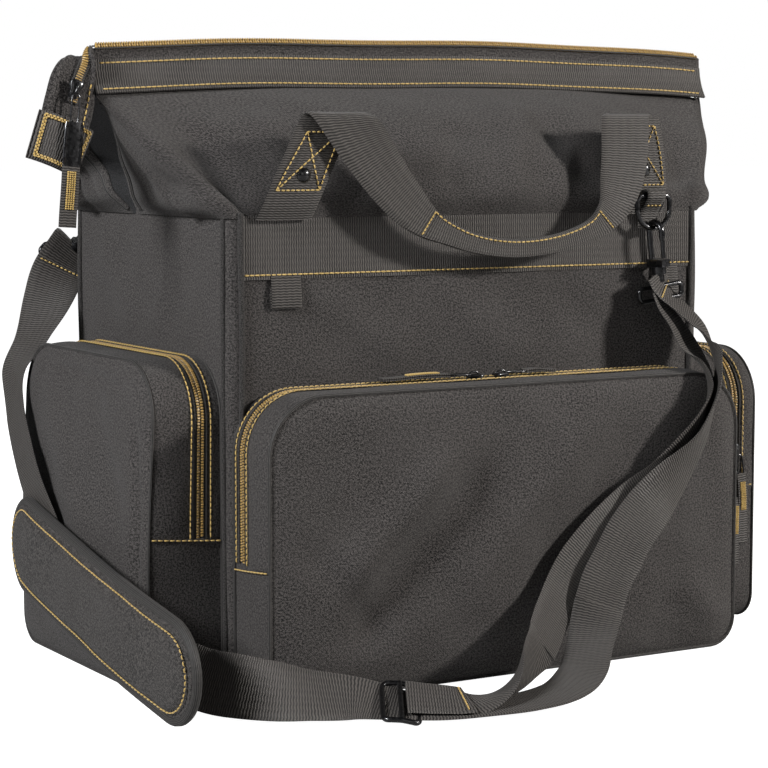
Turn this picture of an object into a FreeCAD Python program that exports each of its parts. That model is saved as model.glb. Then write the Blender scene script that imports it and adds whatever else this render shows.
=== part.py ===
"""Soft-sided garden tool bag with a zipped hood, three zipped pockets and a clip-on shoulder strap.

Millimetres. +X is to the bag's right as seen from the front, -Y is the front, +Z is up.
The origin is the centre of the bag's flat underside.
"""

import FreeCAD, Part
import math
import os

Vec = FreeCAD.Vector

# ---------------------------------------------------------------- driving dimensions
BODY_W = 430.0            # outside width of the main compartment
BODY_D = 282.0            # outside depth
RIM_Z = 356.0             # top of the padded walls
WALL = 3.0                # padded, lined polyester
SHEET = 2.0               # unpadded polyester, hemmed or bound
GAP = 0.4                 # clearance between bodies that move past each other

WEB = 38.0                # carry handle and shoulder strap webbing
WEB_T = 2.5
BAND = 50.0               # webbing band below the rim
BAND_T = 1.6

FOLD_Z = 412.0            # line that the hood's flaps turn about
RIDGE_Y = -50.0           # the closed hood leans towards the front
RIDGE_HALF = 284.0        # half the length of the closed top zip
RIDGE_BAND_Z = 448.0      # lower edge of the upright band under the top zip
RIDGE_TOP_Z = 476.0       # upper edge of that band
TOOTH = 1.9               # one row of coil, across the zip
TOOTH_H = 3.6             # coil height

POCKET_R = 44.0           # round upper corners of every outside pocket
ZIP_END_FRONT = 95.0      # height of the front pocket's zip ends
ZIP_END_SIDE = 115.0      # height of the side pockets' zip ends

HANDLE_AXIS_Y = 151.0     # distance of the handle's fold line from the middle
HANDLE_AXIS_Z = 430.0
ANCHOR_XS = (-136.0, 150.0)

RING_X = 158.0            # front D-ring
RING_REAR_X = -176.0      # rear D-ring
RING_BAR_Z = 364.0
RING_Y = 155.0
RING_R = 16.0             # centre line of the D-ring's bow
RING_WIRE = 2.0
HOOK_WIRE = 2.4
HOOK_R = 8.0              # centre line of the snap hook's bow

PAD_LENGTH = 340.0
PAD_WIDTH = 74.0
PAD_T = 12.0
PAD_X = -292.0
PAD_TILT = 10.7           # degrees, the front end lies on the floor

ADJUSTER = (-135.0, -299.0, 19.5)         # middle of the strap's three-bar adjuster
ADJUSTER_RUN = Vec(0.99, -0.14, 0).normalize()
LEAN = 45.0               # degrees that the strap leans back there

HALF_W = BODY_W / 2
HALF_D = BODY_D / 2

os.makedirs("parts", exist_ok=True)


# ---------------------------------------------------------------- helpers
def save(name, *solids):
    """Write one node: a single solid or a group of separate solids."""
    shape = solids[0] if len(solids) == 1 else Part.makeCompound(list(solids))
    shape.exportStep("parts/" + name + ".step")


def block(x0, x1, y0, y1, z0, z1):
    return Part.makeBox(x1 - x0, y1 - y0, z1 - z0, Vec(x0, y0, z0))


def rod(start, end, radius):
    start, end = Vec(*start), Vec(*end)
    return Part.makeCylinder(radius, (end - start).Length, start, end - start)


def mirrored_y(shape):
    return shape.mirror(Vec(0, 0, 0), Vec(0, 1, 0))


def turned_half(shape):
    """The same shape on the opposite face of the bag."""
    copy = shape.copy()
    copy.rotate(Vec(0, 0, 0), Vec(0, 0, 1), 180)
    return copy


def sheet(points, thickness):
    """Flat panel: a planar outline thickened along its normal."""
    corners = [Vec(*p) for p in points]
    face = Part.Face(Part.makePolygon(corners + corners[:1]))
    normal = (corners[1] - corners[0]).cross(corners[2] - corners[1]).normalize()
    return face.extrude(normal * thickness)


def ribbon(stations):
    """Webbing as a faceted solid. Each station is (centre, direction across, width, thickness)."""
    centres = [Vec(*s[0]) for s in stations]
    rings = []
    for i, (_, across, width, thick) in enumerate(stations):
        along = (centres[min(i + 1, len(centres) - 1)] - centres[max(i - 1, 0)]).normalize()
        across = Vec(*across)
        across = (across - along * across.dot(along)).normalize()
        out = along.cross(across)
        a, b = across * (width / 2), out * (thick / 2)
        c = centres[i]
        rings.append([c - a - b, c + a - b, c + a + b, c - a + b])
    triangles = []
    for lower, upper in zip(rings, rings[1:]):
        for k in range(4):
            n = (k + 1) % 4
            triangles.append((lower[k], lower[n], upper[n]))
            triangles.append((lower[k], upper[n], upper[k]))
    for ring in (rings[0], rings[-1]):
        triangles.append((ring[0], ring[1], ring[2]))
        triangles.append((ring[0], ring[2], ring[3]))
    faces = [Part.Face(Part.makePolygon([a, b, c, a])) for a, b, c in triangles]
    solid = Part.makeSolid(Part.makeShell(faces))
    if solid.Volume < 0:
        solid.reverse()
    return solid.removeSplitter()


def bent_wire(edges, start, direction, radius):
    """Round wire swept along tangent lines and arcs."""
    section = Part.Wire(Part.makeCircle(radius, Vec(*start), Vec(*direction)))
    return Part.Wire(edges).makePipeShell([section], True, True)


def line(a, b):
    return Part.LineSegment(Vec(*a), Vec(*b)).toShape()


def arc(a, mid, b):
    return Part.Arc(Vec(*a), Vec(*mid), Vec(*b)).toShape()


# ---------------------------------------------------------------- main compartment
def main_compartment():
    inner_d = HALF_D - WALL
    inner_w = HALF_W - WALL
    front = block(-inner_w, inner_w, -HALF_D, -inner_d, WALL, RIM_Z)
    left = block(-HALF_W, -inner_w, -inner_d, inner_d, WALL, RIM_Z)
    save("front_panel", front)
    save("rear_panel", mirrored_y(front))
    save("left_panel", left)
    save("right_panel", left.mirror(Vec(0, 0, 0), Vec(1, 0, 0)))
    save("base_panel", block(-HALF_W, HALF_W, -HALF_D, HALF_D, 0, WALL))
    save("base_board", block(-205, 205, -131, 131, WALL, WALL + 3))

    piping = []
    for sx in (-1, 1):
        for sy in (-1, 1):
            x, y = sx * (HALF_W - WALL / 2), sy * (HALF_D - WALL / 2)
            piping.append(rod((x, y, WALL), (x, y, RIM_Z), WALL / 2))
    save("corner_piping", *piping)

    band = block(-inner_w, inner_w, -HALF_D - BAND_T, -HALF_D, RIM_Z - BAND, RIM_Z)
    save("rim_bands", band, mirrored_y(band))

    # Flat folded tabs of 25 mm tape below the front band.
    tab_top = RIM_Z - BAND
    tabs = [block(x - 13, x + 13, -HALF_D - 3.2, -HALF_D, tab_top - 22, tab_top) for x in (-170, 179)]
    save("tape_tabs", *tabs)


def inner_pockets():
    """A row of four open-topped pockets sewn to the inside of the rear wall."""
    back = HALF_D - WALL
    depth, top, half = 12.0, 200.0, 180.0
    row = block(-half, half, back - depth, back - depth + SHEET, WALL + 3, top)
    for i in range(5):
        x = -half + i * (2 * half - SHEET) / 4
        row = row.fuse(block(x, x + SHEET, back - depth, back, WALL + 3, top))
    save("inner_pockets", row.removeSplitter())


# ---------------------------------------------------------------- hood
def hood():
    inner_w, inner_d = HALF_W - SHEET, HALF_D - SHEET
    outer = block(-HALF_W, HALF_W, -HALF_D, HALF_D, RIM_Z, FOLD_Z)
    ring = outer.cut(block(-inner_w, inner_w, -inner_d, inner_d, RIM_Z, FOLD_Z))
    seam = 0.2
    front_half = ring.common(block(-300, 300, -300, -seam, RIM_Z, FOLD_Z))
    rear_half = ring.common(block(-300, 300, seam, 300, RIM_Z, FOLD_Z))
    save("hood_skirt", front_half, rear_half)

    # Each flap is a slanting panel that ends in the upright band of the top zip.
    low = FOLD_Z + GAP
    half_at_band = RIDGE_HALF - 12
    for name, side in (("front", -1), ("rear", 1)):
        y_low = side * (HALF_D - 1.5)
        y_top = RIDGE_Y + side * 1.0
        outline = [
            (-HALF_W + 2, y_low, low),
            (HALF_W - 2, y_low, low),
            (half_at_band, y_top, RIDGE_BAND_Z),
            (-half_at_band, y_top, RIDGE_BAND_Z),
        ]
        slant = sheet(outline, side * SHEET)
        y0, y1 = sorted((RIDGE_Y + side * 0.3, RIDGE_Y + side * (SHEET + 0.3)))
        band = block(-RIDGE_HALF, RIDGE_HALF, y0, y1, RIDGE_BAND_Z - 1.5, RIDGE_TOP_Z)
        clear = block(-400, 400, *sorted((RIDGE_Y + side * 0.2, RIDGE_Y + side * 300)), low, 600)
        save("top_flap_" + name, slant.fuse(band).common(clear).removeSplitter())
        y0, y1 = sorted((RIDGE_Y + side * 0.3, RIDGE_Y + side * (0.3 + TOOTH)))
        save("top_teeth_" + name,
             block(-RIDGE_HALF, RIDGE_HALF, y0, y1, RIDGE_TOP_Z, RIDGE_TOP_Z + TOOTH_H))

    # Tucked end gussets: two triangles each, folded inwards along the middle.
    gussets = []
    for sx in (-1, 1):
        base_x = sx * (HALF_W - 3)
        tip = (sx * (RIDGE_HALF - 34), RIDGE_Y, RIDGE_BAND_Z - 8)
        valley = (sx * (HALF_W - 45), RIDGE_Y + 30, FOLD_Z + 0.2)
        front_foot = (base_x, -HALF_D + 22, FOLD_Z + 0.2)
        rear_foot = (base_x, HALF_D - 22, FOLD_Z + 0.2)
        halves = [sheet([front_foot, valley, tip], SHEET * sx),
                  sheet([valley, rear_foot, tip], SHEET * sx)]
        joined = halves[0].fuse(halves[1])
        gussets.append(joined.common(block(-400, 400, -200, 200, FOLD_Z, 600)).removeSplitter())
    save("hood_gussets", *gussets)


def top_zip_end():
    """Loose end of the top zip with its slider and long pull, hanging at the left."""
    tail = ribbon([
        ((-299.0, -57.0, 460.0), (0.93, 0.0, -0.37), 26.0, 3.0),
        ((-305.0, -59.0, 436.0), (0.93, 0.0, -0.37), 36.0, 3.0),
        ((-323.0, -62.0, 393.0), (0.93, 0.0, -0.37), 44.0, 4.0),
    ])
    save("top_zip_tail", tail)
    slider = block(-5, 5, -3, 0, -8, 8).fuse(block(-3.5, 3.5, -6, -3, -4, 2))
    slider.translate(Vec(-302, -62.6, 446))
    save("top_slider", slider)
    pull = ribbon([
        ((-303.0, -71.0, 444.0), (1, 0, 0), 15.0, 2.4),
        ((-307.0, -71.0, 402.0), (1, 0, 0), 15.0, 2.4),
        ((-316.0, -71.0, 345.0), (1, 0, 0), 13.0, 2.4),
    ])
    save("top_pull", pull)


# ---------------------------------------------------------------- outside pockets
def pocket_shell(width, height, depth):
    """Hollow pocket in its own frame: back at y=0 and open, face at y=-depth, foot at z=0."""
    def solid(inset):
        half, top, r = width / 2 - inset, height - inset, POCKET_R - inset
        k = r * (1 - math.sqrt(0.5))
        edges = [
            line((-half, 0, inset), (half, 0, inset)),
            line((half, 0, inset), (half, 0, top - r)),
            arc((half, 0, top - r), (half - k, 0, top - k), (half - r, 0, top)),
            line((half - r, 0, top), (-half + r, 0, top)),
            arc((-half + r, 0, top), (-half + k, 0, top - k), (-half, 0, top - r)),
            line((-half, 0, top - r), (-half, 0, inset)),
        ]
        return Part.Face(Part.Wire(edges)).extrude(Vec(0, -(depth - inset), 0))
    return solid(0).cut(solid(SHEET))


def pocket_parts(width, height, depth, zip_at, zip_end):
    """Split the shell at its U-shaped zip. Returns tray, gusset, fixed teeth, lid, lid teeth."""
    shell = pocket_shell(width, height, depth)
    big = 400.0

    def part(y_far, y_near, z0, z1):
        return shell.common(block(-big, big, y_far, y_near, z0, z1))

    row = TOOTH
    middle = -zip_at
    tray = part(-depth, 0, 0, zip_end)
    gusset = part(middle + GAP / 2 + row, 0, zip_end, height)
    teeth = part(middle + GAP / 2, middle + GAP / 2 + row, zip_end, height)
    lid_teeth = part(middle - GAP / 2 - row, middle - GAP / 2, zip_end + GAP, height)
    lid = part(-depth, middle - GAP / 2 - row, zip_end + GAP, height)
    return [tray, gusset, teeth, lid, lid_teeth]


FRONT_POCKET = dict(width=424.0, height=224.0, depth=56.0, zip_at=14.0, zip_end=ZIP_END_FRONT)
LEFT_POCKET = dict(width=242.0, height=246.0, depth=61.0, zip_at=19.0, zip_end=ZIP_END_SIDE)
RIGHT_POCKET = dict(width=242.0, height=232.0, depth=74.0, zip_at=52.0, zip_end=ZIP_END_SIDE)
SIDE_POCKET_Y = -5.0      # middle of both side pockets


def pockets():
    teeth = []
    places = (
        ("front", FRONT_POCKET, 0, Vec(0, -HALF_D, 0)),
        ("left", LEFT_POCKET, -90, Vec(-HALF_W, SIDE_POCKET_Y, 0)),
        ("right", RIGHT_POCKET, 90, Vec(HALF_W, SIDE_POCKET_Y, 0)),
    )
    for name, sizes, angle, place in places:
        parts = pocket_parts(**sizes)
        for shape in parts:
            shape.rotate(Vec(0, 0, 0), Vec(0, 0, 1), angle)
            shape.translate(place)
        tray, gusset, fixed, lid, lid_teeth = parts
        save(name + "_pocket_tray", tray)
        save(name + "_pocket_gusset", gusset)
        save(name + "_pocket_lid", lid)
        save(name + "_lid_teeth", lid_teeth)
        teeth.append(fixed)
    save("pocket_teeth", *teeth)


def slider_and_pull(length):
    """Slider on a zip that runs along X, seen from above; the pull lies along -X. Origin: the pull's hinge."""
    slider = block(0, 14, -5, 5, -2.2, 0).fuse(block(2, 10, -2, 2, 0, 1.6))
    pull = block(-length, -0.5, -4.5, 4.5, 0.2, 2.4)
    return slider, pull


def pocket_sliders():
    # Two sliders meet in the middle of the front pocket's top run.
    zip_y = -HALF_D - FRONT_POCKET["zip_at"]
    top = FRONT_POCKET["height"] + GAP + 2.2
    slider, pull = slider_and_pull(62)
    for shape in (slider, pull):
        shape.translate(Vec(-18, zip_y, top))
    save("front_slider_left", slider)
    save("front_pull_left", pull)
    slider, pull = slider_and_pull(40)
    for shape in (slider, pull):
        shape.rotate(Vec(0, 0, 0), Vec(0, 0, 1), 180)
        shape.translate(Vec(18, zip_y, top))
    save("front_slider_right", slider)
    save("front_pull_right", pull)

    # Side pockets: the sliders are parked low on an upright run, with their pulls hanging.
    def upright(x, face_y, z, facing, length):
        slider = block(-5, 5, -2.2, 0, 0, 14).fuse(block(-2, 2, -3.8, -2.2, 4, 12))
        pull = block(-4.5, 4.5, -7.0, -4.8, 6 - length, 6)
        for shape in (slider, pull):
            if facing > 0:
                shape.rotate(Vec(0, 0, 0), Vec(0, 0, 1), 180)
            shape.translate(Vec(x, face_y + facing * GAP, z))
        return slider, pull

    right_x = HALF_W + RIGHT_POCKET["zip_at"]
    front_y = SIDE_POCKET_Y - RIGHT_POCKET["width"] / 2
    for name, z, length, aside in (("upper", 140.0, 74.0, 10.0), ("lower", 120.0, 72.0, 0.0)):
        slider, pull = upright(right_x, front_y, z, -1, length)
        pull.translate(Vec(aside, -aside / 10, 0))
        save("right_slider_" + name, slider)
        save("right_pull_" + name, pull)

    left_x = -HALF_W - LEFT_POCKET["zip_at"]
    rear_y = SIDE_POCKET_Y + LEFT_POCKET["width"] / 2
    slider, pull = upright(left_x, rear_y, 122.0, 1, 70.0)
    save("left_slider", slider)
    save("left_pull", pull)


# ---------------------------------------------------------------- carry handles
def handle_anchor(x):
    """Webbing end sewn over the hood's skirt, with its rivet hole."""
    y = -HALF_D
    plate = block(x - WEB / 2, x + WEB / 2, y - WEB_T, y, 372, HANDLE_AXIS_Z - 4)
    return plate.cut(rod((x, y - 9, 386), (x, y + 9, 386), 2.5))


def rivet(x):
    y = -HALF_D
    head = rod((x, y - WEB_T - 2, 386), (x, y - WEB_T, 386), 5.0)
    stem = rod((x, y - WEB_T, 386), (x, y, 386), 2.5)
    return head.fuse(stem)


def handles():
    anchors = [handle_anchor(x) for x in ANCHOR_XS]
    rivets = [rivet(x) for x in ANCHOR_XS]
    save("handle_anchors", *(anchors + [turned_half(a) for a in anchors]))
    save("handle_rivets", *(rivets + [turned_half(r) for r in rivets]))

    # The webbing falls from its fold lines, narrows where it is folded into the grip, and rises again.
    y = -HANDLE_AXIS_Y
    grip_w, grip_t = 20.0, 6.0
    path = [
        ((-122, y, HANDLE_AXIS_Z - 2), (1, 0, 0.6), WEB, WEB_T),
        ((-92, y - 6, 392), (1, 0, 0.75), WEB, WEB_T),
        ((-62, y - 10, 350), (1, 0, 1.0), 30.0, 4.0),
        ((-22, y - 12, 335), (0.3, 0, 1.0), grip_w, grip_t),
        ((20, y - 12, 330), (0, 0, 1), grip_w, grip_t),
        ((65, y - 12, 333), (-0.1, 0, 1.0), grip_w, grip_t),
        ((100, y - 10, 350), (-0.8, 0, 1.0), 28.0, 4.0),
        ((125, y - 6, 388), (-1, 0, 0.5), WEB, WEB_T),
        ((147, y, HANDLE_AXIS_Z - 2), (-1, 0, 0.35), WEB, WEB_T),
    ]
    handle = ribbon(path).common(block(-400, 400, -400, 0, 0, HANDLE_AXIS_Z - 0.5))
    save("handle_front", handle)
    save("handle_rear", turned_half(handle))


# ---------------------------------------------------------------- D-rings and snap hooks
def d_ring():
    """D-ring hanging from its bar along X at the origin. The bow's centre is 10 below the bar."""
    half_bar, corner, drop = 11.0, 5.0, 10.0
    k = corner * (1 - math.sqrt(0.5))
    edges = [
        line((0, 0, 0), (half_bar, 0, 0)),
        arc((half_bar, 0, 0), (half_bar + corner - k, 0, -k), (RING_R, 0, -corner)),
        line((RING_R, 0, -corner), (RING_R, 0, -drop)),
        arc((RING_R, 0, -drop), (0, 0, -drop - RING_R), (-RING_R, 0, -drop)),
        line((-RING_R, 0, -drop), (-RING_R, 0, -corner)),
        arc((-RING_R, 0, -corner), (-half_bar - corner + k, 0, -k), (-half_bar, 0, 0)),
        line((-half_bar, 0, 0), (0, 0, 0)),
    ]
    return bent_wire(edges, (0, 0, 0), (1, 0, 0), RING_WIRE)


def ring_keeper():
    """Short webbing loop round the ring's bar."""
    web = block(-9, 9, -4, RING_Y - HALF_D, -6, 8)
    return web.cut(rod((-20, 0, 0), (20, 0, 0), RING_WIRE + GAP))


def snap_hook():
    """Hook, gate and swivel eye. Origin: centre of the D-ring's wire inside the hook's bow."""
    c = -(HOOK_R - HOOK_WIRE - RING_WIRE - GAP)
    foot = c - 22
    edges = [
        line((0, HOOK_R, foot), (0, HOOK_R, c)),
        arc((0, HOOK_R, c), (0, 0, c + HOOK_R), (0, -HOOK_R, c)),
        line((0, -HOOK_R, c), (0, -HOOK_R, c - 5)),
    ]
    bow = bent_wire(edges, (0, HOOK_R, foot), (0, 0, 1), HOOK_WIRE)
    barrel = block(-4, 4, -10.4, 10.4, foot - 6, foot).fuse(rod((0, 0, foot - 12), (0, 0, foot - 6), 6))
    hook = bow.fuse(barrel)
    gate = rod((0, -HOOK_R, foot + 1.2), (0, -HOOK_R, c - 5 - GAP), 1.8)
    top = foot - 12 - GAP
    neck = rod((0, 0, top - 6), (0, 0, top), 4)
    half, rise, r = 21.0, 7.0, 3.5
    z = top - 6 - r
    k = r * (1 - math.sqrt(0.5))
    eye_edges = [
        line((0, 0, z), (half - r, 0, z)),
        arc((half - r, 0, z), (half - k, 0, z - k), (half, 0, z - r)),
        line((half, 0, z - r), (half, 0, z - rise)),
        arc((half, 0, z - rise), (half - k, 0, z - rise - r + k), (half - r, 0, z - rise - r)),
        line((half - r, 0, z - rise - r), (-half + r, 0, z - rise - r)),
        arc((-half + r, 0, z - rise - r), (-half + k, 0, z - rise - r + k), (-half, 0, z - rise)),
        line((-half, 0, z - rise), (-half, 0, z - r)),
        arc((-half, 0, z - r), (-half + k, 0, z - k), (-half + r, 0, z)),
        line((-half + r, 0, z), (0, 0, z)),
    ]
    eye = bent_wire(eye_edges, (0, 0, z), (1, 0, 0), 2.0).fuse(neck)
    return hook, gate, eye


def clip_set(x, y, tilt, side):
    """Place one ring, keeper and snap hook. The hook hangs from the bow, tilt degrees off straight down."""
    ring = d_ring()
    ring.translate(Vec(x, y, RING_BAR_Z))
    keeper = ring_keeper()
    if side > 0:
        keeper = mirrored_y(keeper)
    keeper.translate(Vec(x, y, RING_BAR_Z))
    bow_centre = Vec(x, y, RING_BAR_Z - 10)
    hooks = []
    for shape in snap_hook():
        shape.translate(bow_centre - Vec(0, 0, RING_R))
        shape.rotate(bow_centre, Vec(0, 1, 0), tilt)
        hooks.append(shape)
    return [ring, keeper] + hooks


def clips():
    front = clip_set(RING_X, -RING_Y, -7, -1)
    rear = clip_set(RING_REAR_X, RING_Y, 45, 1)
    save("ring_keepers", front[1], rear[1])
    for name, parts in (("front", front), ("rear", rear)):
        save("ring_" + name, parts[0])
        save("hook_" + name, parts[2])
        save("gate_" + name, parts[3])
        save("swivel_" + name, parts[4])


# ---------------------------------------------------------------- shoulder strap
def strap():
    # From the front hook over the pocket's corner and down its face.
    save("strap_front", ribbon([
        ((168, -158, 272.5), (1, 0, 0.1), WEB, WEB_T),
        ((184, -176, 262), (1, 0.1, 0.5), WEB, WEB_T),
        ((199, -206, 232), (1, 0.2, 0.2), WEB, WEB_T),
        ((188, -212, 203), (1, 0, -0.4), WEB, WEB_T),
        ((154, -216, 150), (1, 0, -0.8), WEB, WEB_T),
        ((103, -222, 107), (1, 0, -1.0), WEB, WEB_T),
        ((62, -232, 66), (1, 0, -0.8), WEB, WEB_T),
    ]))
    # Round the loop on the floor, leaning back through the adjuster, then on its edge to the pad.
    floor_z = WEB / 2 + 0.2
    lean = (0, -math.sin(math.radians(LEAN)), -math.cos(math.radians(LEAN)))
    run = [Vec(*ADJUSTER) + ADJUSTER_RUN * k for k in (40, -40)]
    save("strap_floor", ribbon([
        ((58, -234, 61), (1, 0, -0.8), WEB, WEB_T),
        ((24, -268, 33), (0.6, 0.2, -1), WEB, WEB_T),
        ((-14, -295, 21.5), (0.2, -0.3, -1), WEB, WEB_T),
        ((-50, -306, floor_z), (0, -0.6, -1), WEB, WEB_T),
        (tuple(run[0]), lean, WEB, WEB_T),
        (tuple(run[1]), lean, WEB, WEB_T),
        ((-214, -277, floor_z), (0, -0.2, -1), WEB, WEB_T),
        ((-244, -258, floor_z), (0, 0, -1), WEB, WEB_T),
        ((-268, -247, floor_z), (0, 0, -1), WEB, WEB_T),
    ]))
    # From the rear hook down to the pad.
    save("strap_rear", ribbon([
        ((-236, 155, 294), (0.7, 0, -0.7), WEB, WEB_T),
        ((-264, 150, 268), (0.5, 0.5, -0.6), WEB, WEB_T),
        ((-282, 141, 238), (0, 1, 0), WEB, WEB_T),
        ((-287, 131, 196), (0, 1, 0), WEB, WEB_T),
        ((-290, 122, 155), (0, 1, 0.2), WEB, WEB_T),
        ((-292, 108, 122), (0, 1, 0.9), WEB, WEB_T),
        ((-292, 98, 104), (0, 0.6, 1.0), WEB, WEB_T),
    ]))

    # Long oval pad, thick enough to stand against the left pocket.
    radius = PAD_WIDTH / 2
    reach = PAD_LENGTH / 2 - radius
    x = PAD_X - PAD_T / 2
    edges = [
        line((x, -reach, -radius), (x, reach, -radius)),
        arc((x, reach, -radius), (x, reach + radius, 0), (x, reach, radius)),
        line((x, reach, radius), (x, -reach, radius)),
        arc((x, -reach, radius), (x, -reach - radius, 0), (x, -reach, -radius)),
    ]
    pad = Part.Face(Part.Wire(edges)).extrude(Vec(PAD_T, 0, 0))
    pad.rotate(Vec(0, 0, 0), Vec(1, 0, 0), PAD_TILT)
    low = radius + reach * math.sin(math.radians(PAD_TILT)) + 0.3
    pad.translate(Vec(0, -78, low))
    save("shoulder_pad", pad)


def triglide():
    """Three-bar adjuster that the strap passes through, near the floor."""
    wide, tall, thick, side = 30.0, 46.0, 7.0, 3.0
    top = tall / 2 - side
    slot = WEB_T / 2 + 0.5
    frame = block(-wide / 2, wide / 2, -thick / 2, thick / 2, -tall / 2, tall / 2)
    frame = frame.cut(block(-wide, wide, -slot, slot, -top, top))
    for x in (-11.0, 2.0):
        frame = frame.cut(block(x, x + 9, -thick, thick, -top, top))
    frame.rotate(Vec(0, 0, 0), Vec(1, 0, 0), -LEAN)
    heading = math.degrees(math.atan2(ADJUSTER_RUN.y, ADJUSTER_RUN.x))
    frame.rotate(Vec(0, 0, 0), Vec(0, 0, 1), heading)
    frame.translate(Vec(*ADJUSTER))
    save("triglide", frame)


main_compartment()
inner_pockets()
hood()
top_zip_end()
pockets()
pocket_sliders()
handles()
clips()
strap()
triglide()
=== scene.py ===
"""Looks of the garden tool bag: fabric, webbing, zips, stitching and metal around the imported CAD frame.

Shapes are worked out in millimetres in the row frame and written to meshes in metres.
+X is the bag's right seen from the front, -Y is the front, +Z is up.
"""
import math

import bpy
import numpy as np
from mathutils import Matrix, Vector, noise

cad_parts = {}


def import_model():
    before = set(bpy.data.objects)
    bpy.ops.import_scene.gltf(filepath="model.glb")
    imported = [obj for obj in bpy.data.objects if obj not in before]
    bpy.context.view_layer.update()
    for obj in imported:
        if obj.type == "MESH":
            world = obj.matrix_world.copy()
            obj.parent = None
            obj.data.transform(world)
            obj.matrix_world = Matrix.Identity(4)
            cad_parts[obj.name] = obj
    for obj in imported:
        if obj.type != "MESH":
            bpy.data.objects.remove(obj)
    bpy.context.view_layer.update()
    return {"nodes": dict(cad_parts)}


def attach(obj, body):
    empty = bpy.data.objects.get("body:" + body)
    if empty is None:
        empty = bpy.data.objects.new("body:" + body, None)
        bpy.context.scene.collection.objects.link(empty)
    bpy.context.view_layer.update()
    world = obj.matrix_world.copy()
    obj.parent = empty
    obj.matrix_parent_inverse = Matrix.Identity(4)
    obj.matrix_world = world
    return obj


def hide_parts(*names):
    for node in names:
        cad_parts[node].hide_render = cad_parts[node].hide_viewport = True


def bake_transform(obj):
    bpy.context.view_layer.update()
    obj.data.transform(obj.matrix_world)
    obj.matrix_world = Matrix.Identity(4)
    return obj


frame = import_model()

MM = 0.001
HALF_W, HALF_D, RIM_Z = 215.0, 141.0, 356.0      # main compartment
RIDGE_Y, RIDGE_HALF = -50.0, 284.0               # top zip: its depth and half its length
BAND_FOOT, BAND_TOP = 443.0, 476.0               # the upright band below the top zip
HOOK_PARTS = [part + end for end in ("_front", "_rear") for part in ("ring", "hook", "gate", "swivel")]


# ---------------------------------------------------------------- materials
class Shader:
    """Short names for building one Principled material out of nodes."""

    def __init__(self, name, rough, **sockets):
        self.mat = bpy.data.materials.new(name)
        self.mat.use_nodes = True
        self.tree = self.mat.node_tree
        self.bsdf = self.tree.nodes["Principled BSDF"]
        self.set("Roughness", rough)
        for key, value in sockets.items():
            self.set(key.replace("_", " ").title().replace("Ior", "IOR"), value)

    def set(self, socket, value):
        if isinstance(value, bpy.types.NodeSocket):
            self.tree.links.new(value, self.bsdf.inputs[socket])
        else:
            self.bsdf.inputs[socket].default_value = value

    def node(self, kind, *inputs, **props):
        n = self.tree.nodes.new("ShaderNode" + kind)
        for key, value in props.items():
            setattr(n, key, value)
        for i, value in enumerate(inputs):
            if isinstance(value, bpy.types.NodeSocket):
                self.tree.links.new(value, n.inputs[i])
            elif value is not None:
                n.inputs[i].default_value = value
        return n

    def math(self, op, a, b=None, c=None):
        return self.node("Math", a, b, c, operation=op).outputs[0]

    def coords(self, object_space=False):
        if object_space:
            return self.node("TexCoord").outputs["Object"]
        return self.node("Attribute", attribute_name="cloth").outputs["Vector"]

    def split(self, vector):
        return self.node("SeparateXYZ", vector).outputs

    def wave(self, value, pitch):
        """Sine of a length in metres, one turn every pitch millimetres."""
        return self.math("SINE", self.math("MULTIPLY", value, 2 * math.pi / (pitch * MM)))

    def noise(self, vector, scale, detail=2.0, rough=0.5, stretch=None):
        if stretch:
            vector = self.node("VectorMath", vector, stretch, operation="MULTIPLY").outputs[0]
        n = self.node("TexNoise")
        self.tree.links.new(vector, n.inputs["Vector"])
        n.inputs["Scale"].default_value = scale
        n.inputs["Detail"].default_value = detail
        n.inputs["Roughness"].default_value = rough
        return n.outputs["Fac"]

    def ramp(self, fac, low, high, a, b):
        """Colour a below low, colour b above high, blended between."""
        n = self.node("ValToRGB", fac)
        n.color_ramp.elements[0].position, n.color_ramp.elements[1].position = low, high
        n.color_ramp.elements[0].color, n.color_ramp.elements[1].color = (*a, 1), (*b, 1)
        return n.outputs[0]

    def span(self, value, low, high, a, b):
        n = self.node("MapRange", value, low, high, a, b)
        return n.outputs[0]

    def mix(self, fac, a, b, blend="MIX"):
        n = self.node("Mix", data_type="RGBA", blend_type=blend)
        for socket, value in (("Factor", fac), ("A", a), ("B", b)):
            target = [s for s in n.inputs if s.name == socket and s.enabled][0]
            if isinstance(value, bpy.types.NodeSocket):
                self.tree.links.new(value, target)
            else:
                target.default_value = value if socket == "Factor" else (*value, 1)
        return [s for s in n.outputs if s.enabled][0]

    def bump(self, height, distance, strength=1.0, under=None):
        n = self.node("Bump")
        n.inputs["Strength"].default_value = strength
        n.inputs["Distance"].default_value = distance * MM
        self.tree.links.new(height, n.inputs["Height"])
        if under is not None:
            self.tree.links.new(under, n.inputs["Normal"])
        return n.outputs[0]


def scaled(colour, k):
    return tuple(min(1.0, c * k) for c in colour)


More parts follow.
